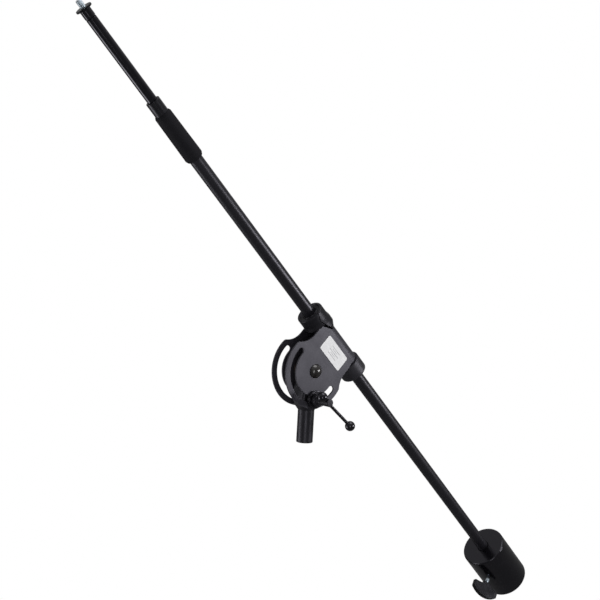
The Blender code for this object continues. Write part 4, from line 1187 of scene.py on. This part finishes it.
class BoomOperator(bpy.types.Operator):
    """Outer tube and the cap in its tail"""
    bl_idname = "swivel_arm.boom"
    bl_label = "Boom"

    def execute(self, context):
        b = arm().boom
        tube_edge, plug_length = 0.0003, 0.014
        cap_radius, cap_face, cap_rim, cap_height = 0.0124, 0.0090, 0.0034, 0.0042
        tube = oblong(b.tube_bore, b.tube_radius, b.tube_head, b.tube_tail, tube_edge)
        turned_piece("boom_tube", tube, BOOM, "tube_paint", "boom", ["outer_tube"], "tube_black_paint",
                     steps=3, segments=128)
        plug, end = b.tube_bore - GAP, b.tube_tail
        cap = [(0, end - plug_length), (plug, end - plug_length, 0.0008), (plug, end + GAP),
               (cap_radius, end + GAP, 0.0004), (cap_radius, end + cap_rim, 0.0014),
               (cap_face, end + cap_height, 0.004), (0, end + cap_height)]
        turned_piece("tail_cap", cap, BOOM, "plastic", "boom", ["tube_end_cap"], "black_moulded_plastic", steps=5)
        return {"FINISHED"}


class ClutchOperator(bpy.types.Operator):
    """Clutch: the nose ring and the rubber sleeve that is twisted"""
    bl_idname = "swivel_arm.clutch"
    bl_label = "Clutch"

    def execute(self, context):
        b = arm().boom
        nose_bore, nose_step, head_bore, tail_bore, tail_radius = 0.0119, 0.01095, 0.0122, 0.0131, 0.0132
        tail_wall = 0.005
        slip = b.inner_radius + 0.0004
        nose_end = b.grip_head - GAP
        head, end, over = b.grip_head, b.grip_tail, b.tube_radius + GAP
        nose = [
            (slip, b.nose_head + 0.0003, 0.0003), (b.nose_radius, b.nose_head, 0.0009), (b.nose_radius, nose_end),
            (nose_bore, nose_end), (nose_bore, b.tube_head - 0.0006), (nose_step, b.tube_head - 0.0006),
            (nose_step, b.tube_head - 0.007), (slip, b.tube_head - 0.010)]
        turned_piece("nose_ring", nose, BOOM, "nose", "clutch", ["clutch_nose"], "gloss_black_steel",
                     steps=5, segments=112)
        grip = [
            (head_bore, head), (b.grip_head_radius - 0.0017, head, 0.0008),
            (b.grip_head_radius, head + 0.0030, 0.0030), (b.grip_tail_radius, end - 0.0046, 0.0010),
            (tail_radius, end - 0.0003, 0.0008), (over, end, 0.0004), (over, end - tail_wall),
            (tail_bore, end - tail_wall), (tail_bore, b.tube_head), (head_bore, b.tube_head)]
        turned_piece("grip_sleeve", grip, BOOM, "rubber", "clutch", ["clutch_grip"], "black_rubber",
                     steps=6, segments=112)
        return {"FINISHED"}


class TipOperator(bpy.types.Operator):
    """Sliding inner tube with its ferrule, flange and threaded stud"""
    bl_idname = "swivel_arm.tip"
    bl_label = "Tip"

    def execute(self, context):
        b = arm().boom
        edge, rim_edge, thread_depth, thread_end = 0.0003, 0.0009, 0.00095, 0.0012
        plug_length, plug_floor, root = 0.020, 0.004, 0.003
        head = b.inner_head
        tube = oblong(b.inner_bore, b.inner_radius, head, b.inner_tail, edge, rim_edge, edge, edge)
        turned_piece("sliding_tube", tube, BOOM, "inner_paint", "inner", ["inner_tube"], "gloss_black_tube",
                     steps=3, segments=112)
        bore, plug = b.stud_radius + GAP, b.inner_bore - GAP
        ferrule = [
            (bore, b.ferrule_head), (b.ferrule_radius, b.ferrule_head, 0.0004), (b.ferrule_radius, head - 0.0016),
            (b.ferrule_radius - 0.0011, head - GAP), (plug, head - GAP), (plug, head + plug_length),
            (0, head + plug_length), (0, head + plug_floor), (bore, head + plug_floor)]
        turned_piece("ferrule", ferrule, BOOM, "inner_paint", "inner", ["tip_ferrule"], "gloss_black_tube",
                     steps=4)
        flange = oblong(bore, b.flange_radius, b.flange_head, b.ferrule_head - GAP,
                        0.0002, rim_edge, rim_edge, 0.0002)
        turned_piece("flange", flange, BOOM, "wing", "inner", ["tip_flange"], "gloss_black_steel",
                     steps=5, segments=112)
        up = BOOM @ Matrix.Translation((0, 0, head + root)) @ FLIPPED
        thread_piece("threaded_stud", b.stud_radius - thread_depth, b.stud_radius, b.stud_pitch,
                     head + root - b.stud_head, up, "zinc_boom", "inner", ["tip_stud"], "bright_screw_zinc",
                     taper=thread_end, steps=48)
        return {"FINISHED"}


class WeightOperator(bpy.types.Operator):
    """Counterweight with the hole for its screw"""
    bl_idname = "swivel_arm.weight"
    bl_label = "Weight"

    def execute(self, context):
        w = arm().weight
        bore_edge, past = 0.0008, 0.005
        profile = oblong(w.bore, w.radius, w.head, w.tail, bore_edge, w.chamfer, w.chamfer, bore_edge)
        drill = placed(rod(w.screw_radius + GAP, past, w.radius + past), BOOM.inverted() @ SCREW)
        solid = lathe(rounded(profile, steps=6), segments=160)
        piece("round_weight", carved(solid, [drill]), BOOM, "iron", "weight", ["counterweight"],
              "black_painted_iron")
        return {"FINISHED"}


class WingOperator(bpy.types.Operator):
    """Winged screw that clamps the weight"""
    bl_idname = "swivel_arm.wing"
    bl_label = "Winged screw"

    def execute(self, context):
        w = arm().weight
        hump_edge, hump_foot, blade_edge = 0.0020, 0.0030, 0.0009
        thread_depth, crest_gap, pitch, start = 0.00075, 0.00002, 0.00125, 0.0143
        screw_in_wing, drill_past = 0.008, 0.005
        half, hump = w.wing_half_width, w.hump_half_width
        depth = w.wing_end - w.wing_start - w.wing_side
        radius = (half ** 2 + depth ** 2) / (2 * depth)
        sweep = math.asin(half / radius)
        outer = arc((0, w.wing_end - radius), radius, math.pi / 2 - sweep, math.pi / 2 + sweep, steps=40)
        right = [(hump, w.hump_start, hump_edge), (hump + hump_foot, w.wing_start - w.wing_rise, hump_foot),
                 (half, w.wing_start, 0)]
        left = [(-x, y, edge) for x, y, edge in reversed(right)]
        outline = anticlockwise(rounded(left + right, steps=6, closed=False) + outer)
        blade = slab(outline, -w.wing_half_thickness, w.wing_half_thickness, blade_edge, steps=4)
        placed(blade, Matrix.Rotation(w.wing_turn, 4, "Z") @ UPRIGHT)
        screw_end = w.wing_start + screw_in_wing
        drill = rod(w.screw_radius + GAP, w.hump_start - drill_past, screw_end + GAP)
        piece("wing_knob", carved(blade, [drill]), SCREW, "wing", "wing", ["weight_wing_knob"],
              "black_moulded_plastic")
        thread_piece("wing_screw", w.screw_radius - thread_depth, w.screw_radius - crest_gap, pitch,
                     screw_end - start, SCREW @ Matrix.Translation((0, 0, start)), "zinc_screw", "wing",
                     ["weight_screw"], "bright_screw_zinc")
        return {"FINISHED"}


# Stage

def softbox(name, place, aim, width, height, power):
    """A soft rectangular lamp, turned so that its width lies level; power in watts."""
    lamp = bpy.data.lights.new(name, "AREA")
    lamp.shape = "RECTANGLE"
    lamp.size = width
    lamp.size_y = height
    lamp.energy = power
    made = added(name, lamp)
    made.location = place
    made.rotation_euler = (Vector(aim) - Vector(place)).to_track_quat("-Z", "Y").to_euler()
    made.visible_camera = False


def compass(heading, rise, reach):
    """A point at a heading from the front towards the right, a rise and a reach from the arm's middle."""
    middle_height = 0.13
    heading, rise = math.radians(heading), math.radians(rise)
    level = reach * math.cos(rise)
    return (level * math.sin(heading), -level * math.cos(heading), middle_height + reach * math.sin(rise))


def studio_walls(s):
    """Glowing floor, walls and ceiling of the studio, which only reflections show; their glow is painted light,
    no lamp, and grows brighter towards the ceiling. The walls stay open behind the arm, where reflections show
    the white background."""
    steps = 96
    dark_height = 1.0
    start, end = math.radians(s.wall_start), math.radians(s.wall_end)
    levels = (s.floor_level - 0.1, s.wall_top)
    turns = [start + (end - start) * k / steps for k in range(steps + 1)]
    bm = bmesh.new()
    lower, upper = [[bm.verts.new((s.wall_radius * math.sin(turn), -s.wall_radius * math.cos(turn), level))
                     for turn in turns] for level in levels]
    for k in range(steps):
        bm.faces.new((lower[k], lower[k + 1], upper[k + 1], upper[k]))
    for level in levels:
        bmesh.ops.create_circle(bm, cap_ends=True, radius=s.wall_radius, segments=steps,
                                matrix=Matrix.Translation((0, 0, level)))
    walls = added("studio_walls", as_mesh("studio_walls", bm))
    dim = bpy.data.materials.new("wall_grey")
    dim.use_nodes = True
    tree = dim.node_tree
    tree.nodes.remove(tree.nodes["Principled BSDF"])
    place = tree.nodes.new("ShaderNodeTexCoord").outputs["Object"]
    height = node(tree, "ShaderNodeSeparateXYZ", {0: place}, out=2)
    shade = node(tree, "ShaderNodeMapRange", {
        "Value": height, "From Min": dark_height, "From Max": s.wall_top, "To Min": s.wall_grey,
        "To Max": s.ceiling_glow})
    glow = node(tree, "ShaderNodeEmission", {"Color": WHITE, "Strength": shade})
    tree.links.new(glow, tree.nodes["Material Output"].inputs["Surface"])
    walls.data.materials.append(dim)
    for ray in ("camera", "diffuse", "transmission", "volume_scatter", "shadow"):
        setattr(walls, "visible_" + ray, False)


def pale_floor(s):
    """A pale round floor that fades out towards its edge."""
    fade_start, fade_end = 0.55, 0.97
    bm = bmesh.new()
    bmesh.ops.create_circle(bm, cap_ends=True, radius=s.floor_radius, segments=128)
    floor = added("floor", as_mesh("floor", bm))
    floor.location = (0, 0, s.floor_level)
    pale = Finish("floor_pale", Roughness=0.9, Base_Color=(*s.floor_colour, 1))
    reach = pale.add("ShaderNodeVectorMath", {0: pale.place}, out=1, operation="LENGTH")
    faded = pale.ranged(reach, 1.0, 0.0, s.floor_radius * fade_start, s.floor_radius * fade_end)
    pale.tree.links.new(faded, pale.shader.inputs["Alpha"])
    floor.data.materials.append(pale.material)
    floor.visible_glossy = False


def white_world(s):
    """Surroundings that are white to the camera and in reflections, and light the arm more softly."""
    world = bpy.data.worlds.new("surroundings")
    bpy.context.scene.world = world
    world.use_nodes = True
    tree = world.node_tree
    soft = tree.nodes["Background"]
    soft.inputs["Color"].default_value = WHITE
    soft.inputs["Strength"].default_value = s.sky_light
    white = node(tree, "ShaderNodeBackground", {"Color": WHITE, "Strength": 1.0})
    rays = tree.nodes.new("ShaderNodeLightPath").outputs
    seen = rays["Is Camera Ray"]
    for kind in ("Is Glossy Ray", "Is Transmission Ray"):
        seen = node(tree, "ShaderNodeMath", {0: seen, 1: rays[kind]}, operation="MAXIMUM")
    mixed = node(tree, "ShaderNodeMixShader", {0: seen, 1: soft.outputs[0], 2: white})
    tree.links.new(mixed, tree.nodes["World Output"].inputs["Surface"])


def photo_camera(s):
    """The camera at the photograph's place and angle."""
    view = bpy.data.cameras.new("photo_camera")
    view.lens = s.lens
    view.sensor_width = 36
    view.clip_start = 0.05
    view.clip_end = 60
    camera = added("photo_camera", view)
    camera.matrix_world = (Matrix.Translation(s.camera_place) @ Matrix.Rotation(s.camera_heading, 4, "Z")
                           @ Matrix.Rotation(math.pi / 2 + s.camera_rise, 4, "X")
                           @ Matrix.Rotation(s.camera_roll, 4, "Z"))
    bpy.context.scene.camera = camera


class StageOperator(bpy.types.Operator):
    """Pale floor, soft lamps, white surroundings and the camera at the photograph's angle"""
    bl_idname = "swivel_arm.stage"
    bl_label = "Stage"

    def execute(self, context):
        s = arm().stage
        context.scene.view_settings.view_transform = "Standard"
        pale_floor(s)
        white_world(s)
        studio_walls(s)
        middle, upper_boom = (0.0, 0.0, 0.15), (-0.36, 0.0, 0.57)
        softbox("right_front_softbox", compass(42, 4, 2.25), middle, width=0.8, height=0.36, power=23.5)
        softbox("camera_side_softbox", compass(-34, -4, 2.6), middle, width=0.5, height=1.6, power=11)
        softbox("left_softbox", compass(-125, 0, 2.2), middle, width=0.7, height=1.6, power=6)
        softbox("overhead_softbox", compass(20, 75, 2.2), middle, width=1.4, height=1.4, power=18)
        softbox("low_rear_softbox", (-0.92, 0.50, -0.42), upper_boom, width=0.5, height=0.5, power=4.4)
        photo_camera(s)
        return {"FINISHED"}


OPERATORS = (
    FinishesOperator, StemOperator, PivotOperator, SaddleOperator, LabelOperator, CollarsOperator, LockOperator,
    BoomOperator, ClutchOperator, TipOperator, WeightOperator, WingOperator, StageOperator,
)


class ArmPanel(bpy.types.Panel):
    """Lists the arm's pieces and sizes"""
    bl_idname = "VIEW3D_PT_swivel_arm"
    bl_label = "Swivel arm"
    bl_space_type = "VIEW_3D"
    bl_region_type = "UI"
    bl_category = "Swivel arm"

    def draw(self, context):
        for kind in OPERATORS:
            self.layout.operator(kind.bl_idname)
        settings = context.scene.swivel_arm
        for group in ("stem", "saddle", "lock", "boom", "weight", "finishes", "stage"):
            box = self.layout.box()
            box.label(text=group.capitalize())
            values = getattr(settings, group)
            for name in values.__annotations__:
                box.prop(values, name)


CLASSES = (
    StemSizes, SaddleSizes, LockSizes, BoomSizes, WeightSizes, Finishes, StageSettings, SwivelArm,
    *OPERATORS, ArmPanel,
)


def register():
    for kind in CLASSES:
        bpy.utils.register_class(kind)
    bpy.types.Scene.swivel_arm = PointerProperty(type=SwivelArm)


def unregister():
    del bpy.types.Scene.swivel_arm
    for kind in reversed(CLASSES):
        bpy.utils.unregister_class(kind)


def main():
    register()
    for kind in OPERATORS:
        group, name = kind.bl_idname.split(".")
        getattr(getattr(bpy.ops, group), name)()


if __name__ == "__main__":
    main()
